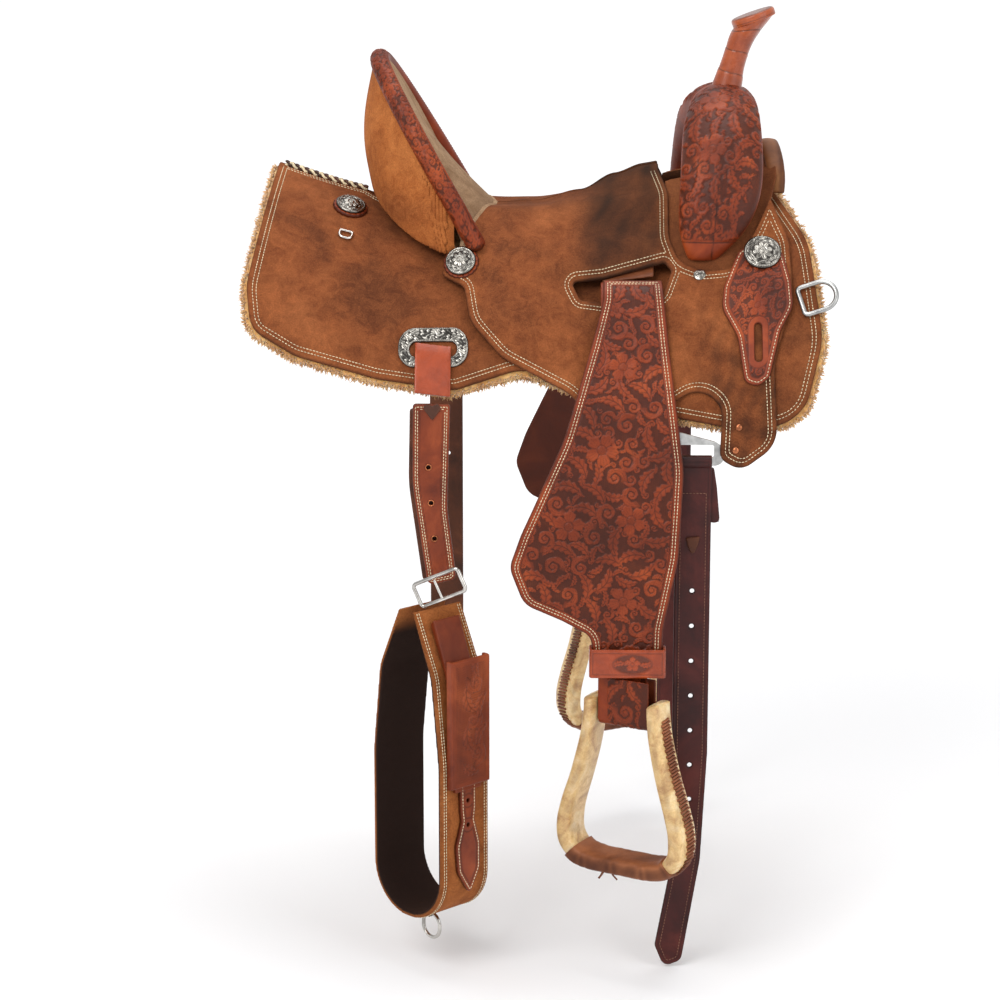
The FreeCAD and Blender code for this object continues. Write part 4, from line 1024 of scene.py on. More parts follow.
def both_sides(thing, base, bodies=("tree", "tree"), nodes=None):
    """A piece and its mirrored twin, named for their sides, riding on their bodies."""
    other = twin(thing, base + "_left")
    thing.name = base + "_right"
    for piece, body, side in ((thing, bodies[0], "_right"), (other, bodies[1], "_left")):
        on_body(piece, body)
        if nodes:
            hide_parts(*[node + side for node in nodes])
    return thing, other


both_sides(seat(), "seat_stitching")

# ---------------------------------------------------------------- skirts and fleece

SKIRT = [(-322, 90, 30), (-352, -60, 60), (-345, -110, 35), (-290, -142, 60), (-190, -170, 80),
         (-95, -184, 40), (-10, -158, 60), (120, -205, 80), (240, -225, 60), (330, -222, 55),
         (356, -120, 90), (342, -10, 60), (290, 60, 20), (250, 140, 0), (-250, 140, 0)]
CHANNEL = [(-400, -2), (-215, -3), (-150, -46), (250, -46), (420, -76)]
SKIRT_FACE = Side(lambda x, a: np.full(np.shape(a), -3.0))


def channel_angle(x):
    """The angle at which the spine's open channel ends, at x."""
    y = np.interp(x, [p[0] for p in CHANNEL], [-p[1] for p in CHANNEL])
    return np.degrees(np.arcsin((CENTRE_Y + y) / SIDE_RADIUS))


def skirt_loop(grow=0.0):
    """The skirt's outline on its face, cut back to the channel."""
    corners = SKIRT
    if grow:
        middle = np.array([0, -60])
        corners = []
        for u, v, radius in SKIRT:
            away = np.array([u, v]) - middle
            corners.append((*(middle + away * (1 + grow / np.linalg.norm(away))), radius))
    flat = Side(skirt_height).flat(rounded(corners, 3.0))
    flat[:, 1] = np.minimum(flat[:, 1], -channel_angle(flat[:, 0]) * DEGREE)
    return resampled(spaced(flat, 0.5), 3.0)


def skirt_shade(u, v, distance):
    """Rubbed streaks, more of them towards the front, and a darker band along the edges."""
    angle = -v / DEGREE
    streaks = 0.5 + 0.5 * np.sin(u / 17 + 2.4 * np.sin(angle / 4)) * np.sin(angle / 3.1 + u / 47)
    front = 0.2 * smooth((u - 240) / 60) * streaks
    return np.clip(0.12 * streaks + front + 0.35 * smooth((3 - distance) / 3), 0, 0.8)


def skirts():
    loop = skirt_loop()
    skirt = sheet("skirt", SKIRT_FACE, [loop], SUEDE, 6.0, spacing=6, levels=1, shade=skirt_shade, edge=2.2)
    both_sides(skirt, "roughout_skirt", nodes=["skirt"])
    rows = edge_stitches("skirt_rows", SKIRT_FACE, [loop], THREAD, 6.15, (7.0, 11.6))
    both_sides(rows, "skirt_stitching")


def fleece():
    """The wool pad, flat underneath but painted with a lumpy pattern of shade, with curled locks all along its
    edge and over its underside.
    """
    loop = skirt_loop(6.0)
    face = Side(lambda x, a: np.full(np.shape(a), -16.0))

    def painted_lump_shade(u, v, distance):
        # Painted shade: the underside stays flat, and this wavy pattern darkens it as if lumps shaded it.
        lump_wave = np.sin(u * 0.55 + 1.7 * np.sin(v * 0.31)) * np.sin(v * 0.49 + 1.3 * np.sin(u * 0.37))
        return np.full(len(u), -0.5), np.clip(0.3 + 0.3 * lump_wave, 0, 1)

    pad = sheet("pad", face, [loop], WOOL, 12.4, spacing=7, relief=painted_lump_shade, edge=4.0)
    locks = wool_locks(face, loop)
    piece = joined("fleece_pad", [pad, locks])
    for thing in both_sides(piece, "fleece_pad", nodes=["fleece"]):
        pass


def wool_locks(face, loop):
    """Short bent tapering locks of wool, along the edge and over the underside."""
    rng = np.random.default_rng(5)
    way = np.roll(loop, -1, axis=0) - np.roll(loop, 1, axis=0)
    out = unit(np.stack([way[:, 1], -way[:, 0]], -1))
    if inside(loop + out * 0.5, loop).mean() > 0.5:
        out = -out
    index = np.repeat(np.arange(len(loop)), 9)
    jitter = rng.uniform(-2.5, 2.5, (len(index), 2))
    roots = loop[index] - out[index] * rng.uniform(0.5, 3.5, len(index))[:, None] + jitter * 0.5
    rim = face.place(roots, rng.uniform(0.5, 12.5, len(index)))
    rim_out = face.place(roots + out[index], 6.0) - face.place(roots, 6.0)
    flat = np.stack([rng.uniform(loop[:, 0].min(), loop[:, 0].max(), 4200),
                     rng.uniform(loop[:, 1].min(), loop[:, 1].max(), 4200)], -1)
    flat = flat[inside(flat, loop)]
    under = face.place(flat, 1.2)
    under_out = face.place(flat, 0.0) - face.place(flat, 1.0)
    centres = np.vstack([rim, under])
    ways = unit(np.vstack([rim_out, under_out]))
    ways = unit(ways + rng.normal(0, 0.42, ways.shape))
    bend = rng.normal(0, 1, ways.shape)
    bend = unit(bend - (bend * ways).sum(1)[:, None] * ways)
    across = np.cross(ways, bend)
    length = np.concatenate([rng.uniform(3.0, 7.5, len(rim)), rng.uniform(1.5, 3.5, len(under))])
    shares = np.array([0.0, 0.35, 0.7, 1.0])
    fat = np.array([1.0, 0.9, 0.55, 0.1]) * 1.15
    points, tone = [], []
    for share, width in zip(shares, fat):
        centre = centres + ways * (length * share)[:, None] + bend * (length * 0.45 * share ** 2)[:, None]
        for k in range(3):
            turn = 2 * math.pi * k / 3
            points.append(centre + width * (math.cos(turn) * bend + math.sin(turn) * across))
            tone.append(np.full(len(centre), 0.55 * (1 - share)))
    points = np.stack(points, 1).reshape(-1, 3)
    tone = np.stack(tone, 1).ravel()
    pattern = [(2, 1, 0), (9, 10, 11)]
    for ring in (0, 3, 6):
        for k in range(3):
            n = (k + 1) % 3
            pattern += [(ring + k, ring + n, ring + 3 + n), (ring + k, ring + 3 + n, ring + 3 + k)]
    faces = np.array(pattern)[None] + (np.arange(len(centres)) * 12)[:, None, None]
    return solid("locks", points, faces.reshape(-1, 3), WOOL, shade=tone)


skirts()
fleece()

# ---------------------------------------------------------------- fenders

MID_X, HANG_Y, FENDER_BOTTOM = 119.0, -297.0, -523.0
KEEPER_TOP, KEEPER_FOOT, KEEPER_HALF = -492, -528, 47
LIP_ANGLE, LEATHER_LIFT, LEATHER, GAP = 43.5, 3.6, 3.4, 0.3
FENDER_LIFT, FENDER_THICK = LEATHER_LIFT + LEATHER + GAP, 4.2
FENDER = [(90, 0, 0), (88, -80, 20), (74, -130, 160), (40, -240, 200), (-12, -352, 120), (-26, -392, 26),
          (-8, -438, 30), (38, -458, 40), (75, -478, 20), (77.5, -560, 0), (160.5, -560, 0), (162, -470, 60),
          (180, -380, 120), (186, -275, 120), (168, -130, 120), (155, 0, 0)]


def flowing(points, count=12):
    """A smooth line through points (Catmull-Rom)."""
    points = np.asarray(points, float)
    ends = np.vstack([2 * points[0] - points[1], points, 2 * points[-1] - points[-2]])
    share = np.linspace(0, 1, count, endpoint=False)[:, None]
    line = []
    for a, b, c, d in zip(ends[:-3], ends[1:-2], ends[2:-1], ends[3:]):
        line.append(0.5 * (2 * b + (c - a) * share + (2 * a - 5 * b + 4 * c - d) * share ** 2
                           + (3 * b - a - 3 * c + d) * share ** 3))
    return np.vstack(line + [points[-1:]])


def hanging_section(lift, bottom):
    """Side section (y, z) of a strap: out of the slot, over the jockey, then straight down."""
    points = []
    for angle, dive in ((LIP_ANGLE, 7.0), (LIP_ANGLE + 3, 0.0)):
        points.append(side_point(MID_X, angle, seat_height(MID_X, angle) + lift - dive)[1:])
    for angle in np.linspace(LIP_ANGLE + 7, 76, 6):
        points.append(side_point(MID_X, angle, seat_height(MID_X, angle) + lift)[1:])
    for z in (-330, -400, -460, bottom):
        points.append(np.array([HANG_Y - lift + 5 * max(0, (z + 380) / 50), z]))
    return flowing(points)


def clipped(view, low, high):
    """A side outline held between two heights."""
    view = view.copy()
    view[:, 1] = np.clip(view[:, 1], low, high)
    return spaced(view, 0.3)


def fender():
    """The tooled fender with its double stitching, and the flowers where the carver put them."""
    section = hanging_section(FENDER_LIFT, FENDER_BOTTOM)
    face = Drape(section)
    view = clipped(rounded(FENDER, 2.2), section[:, 1].min() + 0.1, section[:, 1].max() - 0.1)
    loop = resampled(face.flat(view), 2.2)
    carved = Tooling(1.7)
    for x, z, radius, turn in ((112, -156, 19, 0.4), (86, -251, 21, 1.1), (46, -341, 20, 0.2),
                               (122, -333, 19, 2.0), (113, -433, 19, 0.9), (104, -92, 11, 0.0)):
        u, v = face.flat(np.array([[x, z]]))[0]
        carved.flower(u, v, radius, turn)
    carved.fill(loop, 8, (15, 12, 9, 6.5, 4.5), 3)

    def relief(u, v, distance):
        height, dark = carved.relief(u, v)
        field = smooth((distance - 11.5) / 1.2)
        rule = smooth(1 - np.abs(distance - 11.6) / 0.9)
        edge = smooth((3 - distance) / 2.5)
        lift = height * field - 0.55 * rule
        return lift - 0.5 * (distance > 11.5), np.clip(dark * field * 0.92 + 0.7 * rule + 0.6 * edge, 0, 1)

    panel = sheet("panel", face, [loop], TOOLED, FENDER_THICK, spacing=3.7, levels=2, relief=relief, edge=1.8)
    both_sides(panel, "tooled_fender", ("fender_right", "fender_left"), ["fender"])
    rows = edge_stitches("rows", face, [loop], THREAD, FENDER_THICK + 0.1, (5.2, 8.8))
    both_sides(rows, "fender_stitching", ("fender_right", "fender_left"))


fender()


def tooled_push(frame_of, carved, facing, depth_mask=None):
    """A push for softened(): relief in flat coordinates where the surface faces the given way."""
    def push(points, normals):
        u, v = frame_of(points)
        height, dark = carved.relief(u, v)
        show = smooth((facing(points, normals) - 0.15) / 0.35)
        if depth_mask is not None:
            show = show * depth_mask(points)
        return (height - 0.35) * show, np.clip(dark * show * 0.9, 0, 1)
    return push


# ---------------------------------------------------------------- fork, horn and gullet lip

ARCH_RADIUS, ARCH_Z = 150.0, -25.0
CAP_CENTRE, CAP_LEAN = np.array([280.5, 0, 248.5]), math.radians(19.5)


def arch_frame(points):
    """Flat coordinates round the fork's arch: x, and the way up from the tip."""
    turn = np.arctan2(points[:, 2] - ARCH_Z, np.abs(points[:, 1]))
    return points[:, 0], ARCH_RADIUS * turn


NECK_RINGS = [(146, 243, 23, 0), (156, 244, 21, 0), (172, 248, 18.6, 1), (188, 252, 16.6, 3), (204, 257, 16, 5),
              (218, 262, 17, 8), (229, 267, 19.4, 11), (237, 272, 22.5, 15), (243, 276, 25, 18),
              (251, 281, 26.5, 19.5)]


def horn_neck():
    """The horn's neck, flared up under the cap, wrapped in a glossy strap whose laps spiral round it."""
    keys = flowing(NECK_RINGS, 14)
    turns = np.linspace(0, 2 * math.pi, 72, endpoint=False)
    z, turn = np.meshgrid(keys[:, 0], turns, indexing="ij")
    x, radius, lean = [np.repeat(keys[:, i][:, None], 72, axis=1) for i in (1, 2, 3)]
    lap = np.mod((z - 150) / 27 + turn / (2 * math.pi), 1)
    seam = smooth(1 - np.minimum(lap, 1 - lap) * 22)
    radius = radius - 0.7 * seam + 0.5 * lap
    lean = np.radians(lean)
    across = radius * np.cos(turn)
    points = np.stack([x + across * np.cos(lean), radius * np.sin(turn), z + across * np.sin(lean)], -1)
    stand_in(bar("horn_wrap", points, HORN, 0.85 * seam), "horn_neck_wrap")


def fork():
    """The fork's tooled cover with its seams, the wrapped neck and the horn's cap."""
    carved = Tooling(1.7).flower(228, 172, 21, 0.3).flower(222, 108, 18, 1.2)
    for leaf in ((203, 136, 20, 1.4), (252, 138, 20, 1.8), (226, 66, 18, 1.6), (232, 210, 18, 0.1)):
        carved.leaf(*leaf)
    field = rounded([(176, 8, 10), (166, 120, 30), (190, 236, 20), (284, 236, 20), (288, 120, 30),
                     (250, 8, 10)])
    carved.fill(field, 1, (12, 9, 7, 5, 3.6), 7)

    def facing(points, normals):
        out = np.stack([0 * points[:, 0], points[:, 1], points[:, 2] - ARCH_Z], -1)
        return (unit(out) * normals).sum(1)

    def room(points):
        _, v = arch_frame(points)
        return smooth((v - 13) / 3) * smooth((226 - v) / 3)

    push = tooled_push(arch_frame, carved, facing, room)

    def welted(points, normals):
        lift, dark = push(points, normals)
        u, v = arch_frame(points)
        seams = np.maximum(smooth(1 - np.abs(v - 12) / 1.2), smooth(1 - np.abs(v - 227) / 1.4))
        seam = np.maximum(seams, smooth(1 - np.abs(u - 222 - 0.1 * v) / 1.3) * smooth((74 - v) / 4))
        seam = seam * (facing(points, normals) > 0)
        return lift - 0.7 * seam + 0.5, np.clip(dark + 0.85 * seam, 0, 1)

    remade("fork_leather", "fork_cover", TOOLED, 1.7, 6, welted)
    horn_neck()

    axis = np.array([-math.sin(CAP_LEAN), 0, math.cos(CAP_LEAN)])

    def cap_push(points, normals):
        away = points - CAP_CENTRE
        above = away @ axis
        reach = np.linalg.norm(away - above[:, None] * axis, axis=1)
        seam = smooth(1 - np.abs(above - 2.4) / 0.7) * smooth((reach - 22) / 4)
        ring = smooth(1 - np.abs(reach - 23.5) / 0.8) * (above > 7)
        worn = 0.6 * smooth((above - 8) / 1.5)
        return 0.4 - 0.5 * seam - 0.35 * ring, np.clip(0.7 * seam + 0.5 * ring + worn, 0, 1)

    remade("horn_cap_leather", "horn_cap", HORN, 0.9, 3, cap_push)

    def lip_edge(points, normals):
        rim_side = smooth((points[:, 0] - 306) / 6)
        return 0.6 * rim_side, 0.65 * rim_side

    remade("gullet_lip_leather", "gullet_lip", LIP_LEATHER, 1.1, 4, lip_edge)


fork()

UNDERLAY = [(168, 60, 4), (166, -20, 20), (186, -50, 30), (214, -60, 30), (254, -56, 30), (284, -10, 30),
            (306, 60, 4), (306, 200, 0), (168, 200, 0)]


def underlay():
    """The leather that shows between the seat's cut-out and the fork, evenly darkened as painted shade for that
    recess.
    """
    face = Side(lambda x, a: seat_height(x, a) - SEAT_THICK - 2.6)
    flat = face.flat(rounded(UNDERLAY, 3))
    flat[:, 1] = np.minimum(flat[:, 1], -20 * DEGREE)
    # Its even stored shade of 0.35 is painted shade for the recess under the seat's cut-out.
    under = sheet("under", face, [resampled(spaced(flat, 0.5), 3)], SUEDE, 2.4,
                  shade=lambda u, v, distance: np.full(len(u), 0.35))
    both_sides(under, "fork_underlay")


underlay()

# ---------------------------------------------------------------- cantle

RIM_X, RIM_Z, RIM_RUN, RIM_DROP, RIM_HALF, RIM_ROLL = -203.0, 196.0, 124.0, 214.0, 140.0, 11.6
RIM_TILT = np.array([RIM_DROP, 0, RIM_RUN]) / math.hypot(RIM_DROP, RIM_RUN)
RIM_MIDDLE = (3.6 + 0.3 + 9 + 0.3 + 3.6) / 2


def rim(turn, lift):
    """Points of the cantle's rim: turn in degrees from the top, lift forward from its back."""
    drop, side = 1 - np.cos(np.radians(turn)), np.sin(np.radians(turn))
    place = np.stack([RIM_X + RIM_RUN * drop, RIM_HALF * side, RIM_Z - RIM_DROP * drop], -1)
    return place + RIM_TILT * lift


def cantle():
    """Suede back and face, and the tooled roll with roped edges along the rim."""
    def back_push(points, normals):
        return 1.0 + 1.1 * smooth((70 - points[:, 2]) / 50), smooth((points[:, 2] - 168) / 40) * 0.25

    remade("cantle_back_suede", "cantle_back", BACK_SUEDE, 1.5, 3, back_push)

    def face_push(points, normals):
        return np.full(len(points), 0.8), 0.6 * smooth((52 - points[:, 2]) / 60)

    remade("cantle_face_suede", "cantle_face", PALE_SUEDE, 1.5, 3, face_push)

    end = np.array([(-80.0, 139.6, -1.0), (-72.0, 139.2, -15.0), (-67.5, 137.0, -27.0)])
    path = np.vstack([(end * [1, -1, 1])[::-1], rim(np.linspace(-80, 80, 60), RIM_MIDDLE), end])
    path = flowing(path, 10)
    share = np.linspace(-1, 1, len(path))
    taper = np.sqrt(np.clip((1 - share ** 2) / 0.035, 0.02, 1)) ** 0.8
    run = lengths_along(path)
    way = unit(np.gradient(path, axis=0))
    middle = np.array([RIM_X + RIM_RUN, 0, RIM_Z - RIM_DROP])
    outer = path - middle
    outer -= (outer * way).sum(1)[:, None] * way
    outer = unit(outer - (outer @ RIM_TILT)[:, None] * RIM_TILT)
    forward = np.cross(way, outer)
    around = np.linspace(-math.pi, math.pi, 56, endpoint=False)
    u, a = np.meshgrid(run, around, indexing="ij")
    v = a * RIM_ROLL * 1.25
    carved = Tooling(1.25)
    for k, place in enumerate(np.arange(18, run[-1] - 14, 30.0)):
        carved.flower(place, -3.0 if k % 2 else 3.0, 10.5, 0.5 * k)
        carved.scroll(place + 15, 4 if k % 2 else -4, 10.5, 1.2 * k, 1 if k % 2 else -1)
    strip = rounded([(6, -18, 3), (6, 18, 3), (run[-1] - 6, 18, 3), (run[-1] - 6, -18, 3)])
    carved.fill(strip, 0.5, (8, 6, 4.4, 3.2), 21)
    height, dark = carved.relief(u.ravel(), v.ravel())
    band = smooth((17.5 - np.abs(v.ravel())) / 1.5)
    rope = np.exp(-((np.abs(v.ravel()) - 20.5) / 2.2) ** 2)
    twist = 0.5 + 0.5 * np.sin(u.ravel() * 1.5 + np.sign(v.ravel()) * v.ravel() * 0.9)
    lift = (height - 0.35) * band + rope * (0.5 + 0.6 * twist)
    shade = np.clip(dark * band * 0.9 + rope * (0.85 - 0.85 * twist), 0, 1)
    radius = RIM_ROLL * taper[:, None] + lift.reshape(u.shape) * smooth(taper * 1.5)[:, None]
    points = (path[:, None] + radius[..., None] * (np.cos(a)[..., None] * outer[:, None]
              + np.sin(a)[..., None] * forward[:, None]))
    stand_in(bar("cantle_roll", points, TOOLED, shade), "cantle_binding")


cantle()


def seat_bead():
    """The soft welt where the seat's leather turns up into the cantle's face."""
    angles = np.linspace(RIDGE, 36.0, 60)
    depth = np.abs(side_point(0, angles, 0)[:, 1])
    x = np.array([float(seat_rear(d)) for d in depth])
    half = side_point(x - 1.0, angles, seat_height(x, angles) - 2.2)
    path = np.vstack([half[::-1], (half * [1, -1, 1])[1:]])
    welt = tube("seat_welt", path, 4.4, PALE_SUEDE, 12, flat=0.8)
    on_body(welt)


seat_bead()

# ---------------------------------------------------------------- straps that are remeshed from the part

BILLET = [(177, -262, 0), (177, -790, 60), (158, -895, 10), (170, -924, 10), (192, -915, 12),
          (214, -780, 120), (221, -640, 60), (221, -262, 0)]
LATIGO_OUTLINE = [(177.5, -262, 0), (177, -845, 10), (199, -878, 14), (221, -845, 10), (221, -262, 0)]
UPPER_BILLET = [(-145, -199, 4), (-146, -300, 200), (-128, -428, 8), (-92, -420, 8), (-103, -330, 100),
                (-99, -199, 4)]
PLATE_Y, BILLET_THICK, REAR_Y, REAR_THICK = -266.3, 4.4, -252.0, 7.0
BILLET_HOLES = [(199, -430 - 45 * i) for i in range(8)]
REAR_HOLES = [(-126, -278), (-123, -323), (-119, -368)]


def strap_push(outline, holes, border=4.0):
    """Rounded strap edges with a creased border and worn rings round the holes."""
    loop = rounded(outline, 3.0)

    def push(points, normals):
        flat = points[:, [0, 2]]
        distance = edge_distance(flat, [loop])
        crease = smooth(1 - np.abs(distance - border) / 0.9)
        face_on = smooth((np.abs(normals[:, 1]) - 0.6) / 0.3)
        rings = np.zeros(len(points))
        for x, z in holes:
            reach = np.hypot(flat[:, 0] - x, flat[:, 1] - z)
            rings = np.maximum(rings, smooth(1 - np.abs(reach - 3.6) / 1.4))
        edge = smooth((1.8 - distance) / 1.8)
        return (-0.45 * crease) * face_on, np.clip(0.6 * crease * face_on + 0.6 * rings + 0.55 * edge, 0, 1)
    return push


def eyelets(name, holes, y, material):
    """A rolled metal rim round each hole, on the outer face."""
    turns = np.linspace(0, 2 * math.pi, 24, endpoint=False)
    rims = []
    for i, (x, z) in enumerate(holes):
        path = np.stack([x + 3.5 * np.cos(turns), np.full(24, y), z + 3.5 * np.sin(turns)], -1)
        rims.append(tube(f"{name}{i}", path, 0.8, material, 8, closed=True))
    return joined(name, rims)


def trim_below(thing, z):
    """Cut the outer lower strap off inside the sleeve, where the feather-shaped tip takes over."""
    work = bmesh.new()
    work.from_mesh(thing.data)
    geometry = work.verts[:] + work.edges[:] + work.faces[:]
    bmesh.ops.bisect_plane(work, geom=geometry, plane_co=(0, 0, z * MM), plane_no=(0, 0, -1), clear_outer=True)
    bmesh.ops.holes_fill(work, edges=work.edges[:])
    work.to_mesh(thing.data)
    work.free()


def backing():
    """The dark lining strap behind the flank billet, and the plain tab beside the off billet."""
    lining = [(-149, -206, 3), (-151, -300, 200), (-134, -424, 6), (-120, -424, 6), (-110, -300, 200),
              (-108, -206, 3)]
    strip = sheet("billet_lining", upright(REAR_Y + REAR_THICK / 2 + 2.6), [rounded(lining, 2.5)], DARK_STRAP,
                  2.2, spacing=6)
    on_body(strip, "rear_billet_right")
    tab = [(206, -275, 3), (206, -318, 6), (222, -352, 10), (232, -342, 8), (228, -300, 30), (224, -275, 3)]
    piece = sheet("billet_tab", upright(PLATE_Y + BILLET_THICK / 2 + 2.6), [rounded(tab, 2.5)], LATIGO, 2.2,
                  spacing=6)
    on_body(piece, "off_billet")


def laces():
    """The heart of lace on the flank billet and the triangular lace knot on the off billet."""
    heart = [(-6, 4, 4), (0, 1.5, 1), (6, 4, 4), (9, -1, 4), (0, -13, 1.5), (-9, -1, 4)]
    shape = [(1.25 * x - 121, 1.25 * z - 203, r) for x, z, r in heart]
    patch = sheet("billet_heart", upright(REAR_Y - REAR_THICK / 2), [rounded(shape, 1.2)], DARK_LACE, 2.0,
                  spacing=2.5, levels=1, edge=1.2)
    on_body(patch, "rear_billet_right")
    knot = [(190, -362, 2), (208, -360, 2), (205, -372, 3), (199, -386, 3), (193, -374, 3)]
    patch = sheet("billet_knot", upright(PLATE_Y - BILLET_THICK / 2), [rounded(knot, 1.2)], DARK_STRAP, 3.0,
                  spacing=2.5, levels=1, edge=1.6)
    on_body(patch, "off_billet")


def straps():
    remade("off_billet_leather", "off_billet", LATIGO, 1.15, 3,
           strap_push(BILLET, BILLET_HOLES), "off_billet")
    remade("latigo_strap", "latigo", LATIGO, 1.3, 3, strap_push(LATIGO_OUTLINE, []), "latigo")
    face = upright(PLATE_Y - BILLET_THICK / 2)
    lower = [(u, min(v, -300), r) for u, v, r in BILLET]
    rows = edge_stitches("off_billet_stitching", face, [rounded(lower, 2.5)], THREAD_DARK, 0.05, (6.4,))
    on_body(rows, "off_billet")

    def rear_push(points, normals):
        upper = points[:, 2] > -428.5
        lift, dark = strap_push(UPPER_BILLET, REAR_HOLES, 8.8)(points, normals)
        return lift * (upper & (points[:, 1] > -258)), np.where(upper & (points[:, 1] > -258), dark, 0.1)

    rear = remade("flank_billet_leather", "rear_billet_right", BILLET_LEATHER, 1.2, 3,
                  rear_push, "rear_billet_right")
    trim_below(rear, -676)
    remade("near_flank_billet", "rear_billet_left", DARK_STRAP, 1.3, 3,
           body="rear_billet_left")
    face = upright(REAR_Y - REAR_THICK / 2)
    rows = edge_stitches("flank_billet_stitching", face, [rounded(UPPER_BILLET, 2.5)], THREAD, 0.05, (3.6, 6.2))
    on_body(rows, "rear_billet_right")
    rims = eyelets("flank_billet_eyelets", REAR_HOLES, REAR_Y - REAR_THICK / 2, COPPER)
    on_body(rims, "rear_billet_right")
    for side in SIDES:
        remade("flank_loop" + side, "rear_billet_loop" + side, LOOP_LEATHER, 1.1, 4)
        remade("leather_turn" + side, "stirrup_leather_loop" + side, STRAP, 1.6, 3,
               body="loop" + side)


straps()
backing()
laces()

# ---------------------------------------------------------------- flank cinch and its sleeve

CINCH_CENTRE, CINCH_TURN = np.array([-125.0, -258.0, 0.0]), math.radians(-45)
CINCH_OUT = [(-14, -452, 0), (-50, -530, 60), (-63, -640, 200), (-63, -851, 62), (63, -851, 62),
             (63, -640, 200), (50, -530, 60), (14, -452, 0)]
CINCH_ALONG = np.array([math.cos(CINCH_TURN), math.sin(CINCH_TURN), 0])
CINCH_ACROSS = np.array([-math.sin(CINCH_TURN), math.cos(CINCH_TURN), 0])


def cinch_frame(points):
    """Local x, local y and height in the cinch's turned frame."""
    away = points - CINCH_CENTRE
    return away @ CINCH_ALONG, away @ CINCH_ACROSS, away[:, 2]


class Ribbon:
    """Flat (run along the cinch's outer line, across) coordinates."""

    def __init__(self, line):
        self.line = line
        self.run = lengths_along(line)
        way = np.gradient(line, axis=0)
        self.out = unit(np.stack([way[:, 1], -way[:, 0]], -1))
        if (self.out * (line - line.mean(0))).sum() < 0:
            self.out = -self.out

    def place(self, flat, lift):
        at = [np.interp(flat[:, 0], self.run, self.line[:, i]) for i in (0, 1)]
        out = [np.interp(flat[:, 0], self.run, self.out[:, i]) for i in (0, 1)]
        lift = np.broadcast_to(lift, len(flat))
        x, z = at[0] + out[0] * lift, at[1] + out[1] * lift
        return CINCH_CENTRE + x[:, None] * CINCH_ALONG + flat[:, 1:2] * CINCH_ACROSS + z[:, None] * [0, 0, 1.0]


def cinch():
    """The folded cinch strap: tan suede outside with stitch rows, dark inside."""
    outline = rounded(CINCH_OUT, 3.0)

    def inner_dark(points, normals):
        x, y, z = cinch_frame(points)
        distance = edge_distance(np.stack([x, z], -1), [outline])
        seam = smooth(1 - np.abs(np.abs(y) - 33) / 1.2) * (distance < 2)
        dark = smooth((distance - 3.4) / 1.5) + 0.4 * seam + 0.25 * (np.abs(y) > 38.5)
        return -0.4 * seam, np.clip(dark, 0, 1)

    remade("cinch_leather", "flank_cinch", CINCH_SUEDE, 1.6, 4, inner_dark,
           "rear_billet_right")
    start = int(np.argmin(np.hypot(outline[:, 0] + 14, outline[:, 1] + 452)))
    line = np.roll(outline, -start, axis=0)
    line = line[:-6] if line[1, 0] < line[0, 0] else line[::-1][:-6]
    ribbon = Ribbon(line)
    way = np.arange(8, ribbon.run[-1] - 8, 2.0)
    runs = [np.stack([way, np.full(len(way), y)], -1) for y in (-36.0, -32.5, 32.5, 36.0)]
    rows = stitches("cinch_stitching", ribbon, runs, THREAD, 0.1)
    on_body(rows, "rear_billet_right")


SLEEVE_HALF, SLEEVE_FOOT, SLEEVE_TOP = 32, -670, -506


def sleeve():
    """The tooled sleeve that holds the billet's lower part."""
    carved = Tooling(1.1).scroll(8, -538, 17, 2.4, 1).scroll(4, -586, 15, 0.6, -1).scroll(10, -628, 18, 4.2, 1)
    carved.leaf(-4, -560, 21, 2.0).leaf(16, -566, 17, 1.2).leaf(-4, -610, 21, 1.9).leaf(15, -604, 16, 1.0)
    carved.leaf(-3, -648, 16, 2.6).leaf(8, -518, 14, 1.6)

    def push(points, normals):
        _, y, z = cinch_frame(points)
        height, dark = carved.relief(y, z)
        edge = np.minimum(np.minimum(SLEEVE_HALF - np.abs(y), z - SLEEVE_FOOT), SLEEVE_TOP - z)
        show = smooth((normals @ CINCH_ALONG - 0.4) / 0.3) * smooth((edge - 6.5) / 1.0)
        outlined = np.where(height > 0.14, 0.9 * dark, 0.95 * smooth(height * 16 - 0.8))
        return height * show, np.clip(outlined * show, 0, 1)

    remade("tooled_sleeve", "cinch_sleeve", BILLET_LEATHER, 1.0, 3, push, "rear_billet_right")


FEATHER = [(-13, -664, 0), (-12, -702, 10), (-10, -716, 8), (-20, -748, 22), (-17, -782, 20), (3, -814, 4),
           (20, -782, 22), (20, -748, 20), (11, -716, 8), (13, -702, 10), (13, -664, 0)]
FEATHER_HOLES = [(0.0, -690.0), (0.0, -722.0)]
FEATHER_LIFT = 63.9


def feather():
    """The billet's feather-shaped end below the sleeve: a stamped border, stitches and two holes."""
    face = Plane(placing(CINCH_ACROSS, (0, 0, 1), CINCH_ALONG, CINCH_CENTRE + FEATHER_LIFT * CINCH_ALONG))
    loops = [rounded(FEATHER, 1.6)] + [rounded(oval(u, v, 2.6, 2.6, 2.5), 1.0) for u, v in FEATHER_HOLES]

    def stamped(u, v, distance):
        beads = 0.5 + 0.5 * np.sin(u * 1.9) * np.sin(v * 1.9)
        row = smooth(1 - np.abs(distance - 6.3) / 1.9)
        dark = 0.85 * row * (0.45 + 0.55 * beads) + 0.5 * smooth((1.6 - distance) / 1.6)
        return -0.5 * row * beads, np.clip(dark, 0, 1)

    tip = sheet("billet_feather", face, loops, BILLET_LEATHER, 4.6, spacing=3, levels=2, relief=stamped,
                edge=1.4)
    on_body(tip, "rear_billet_right")
    rows = edge_stitches("feather_stitching", face, loops[:1], THREAD, 4.7, (3.0,),
                         only=lambda run: run[:, 1] < -668)
    on_body(rows, "rear_billet_right")


cinch()
sleeve()
feather()

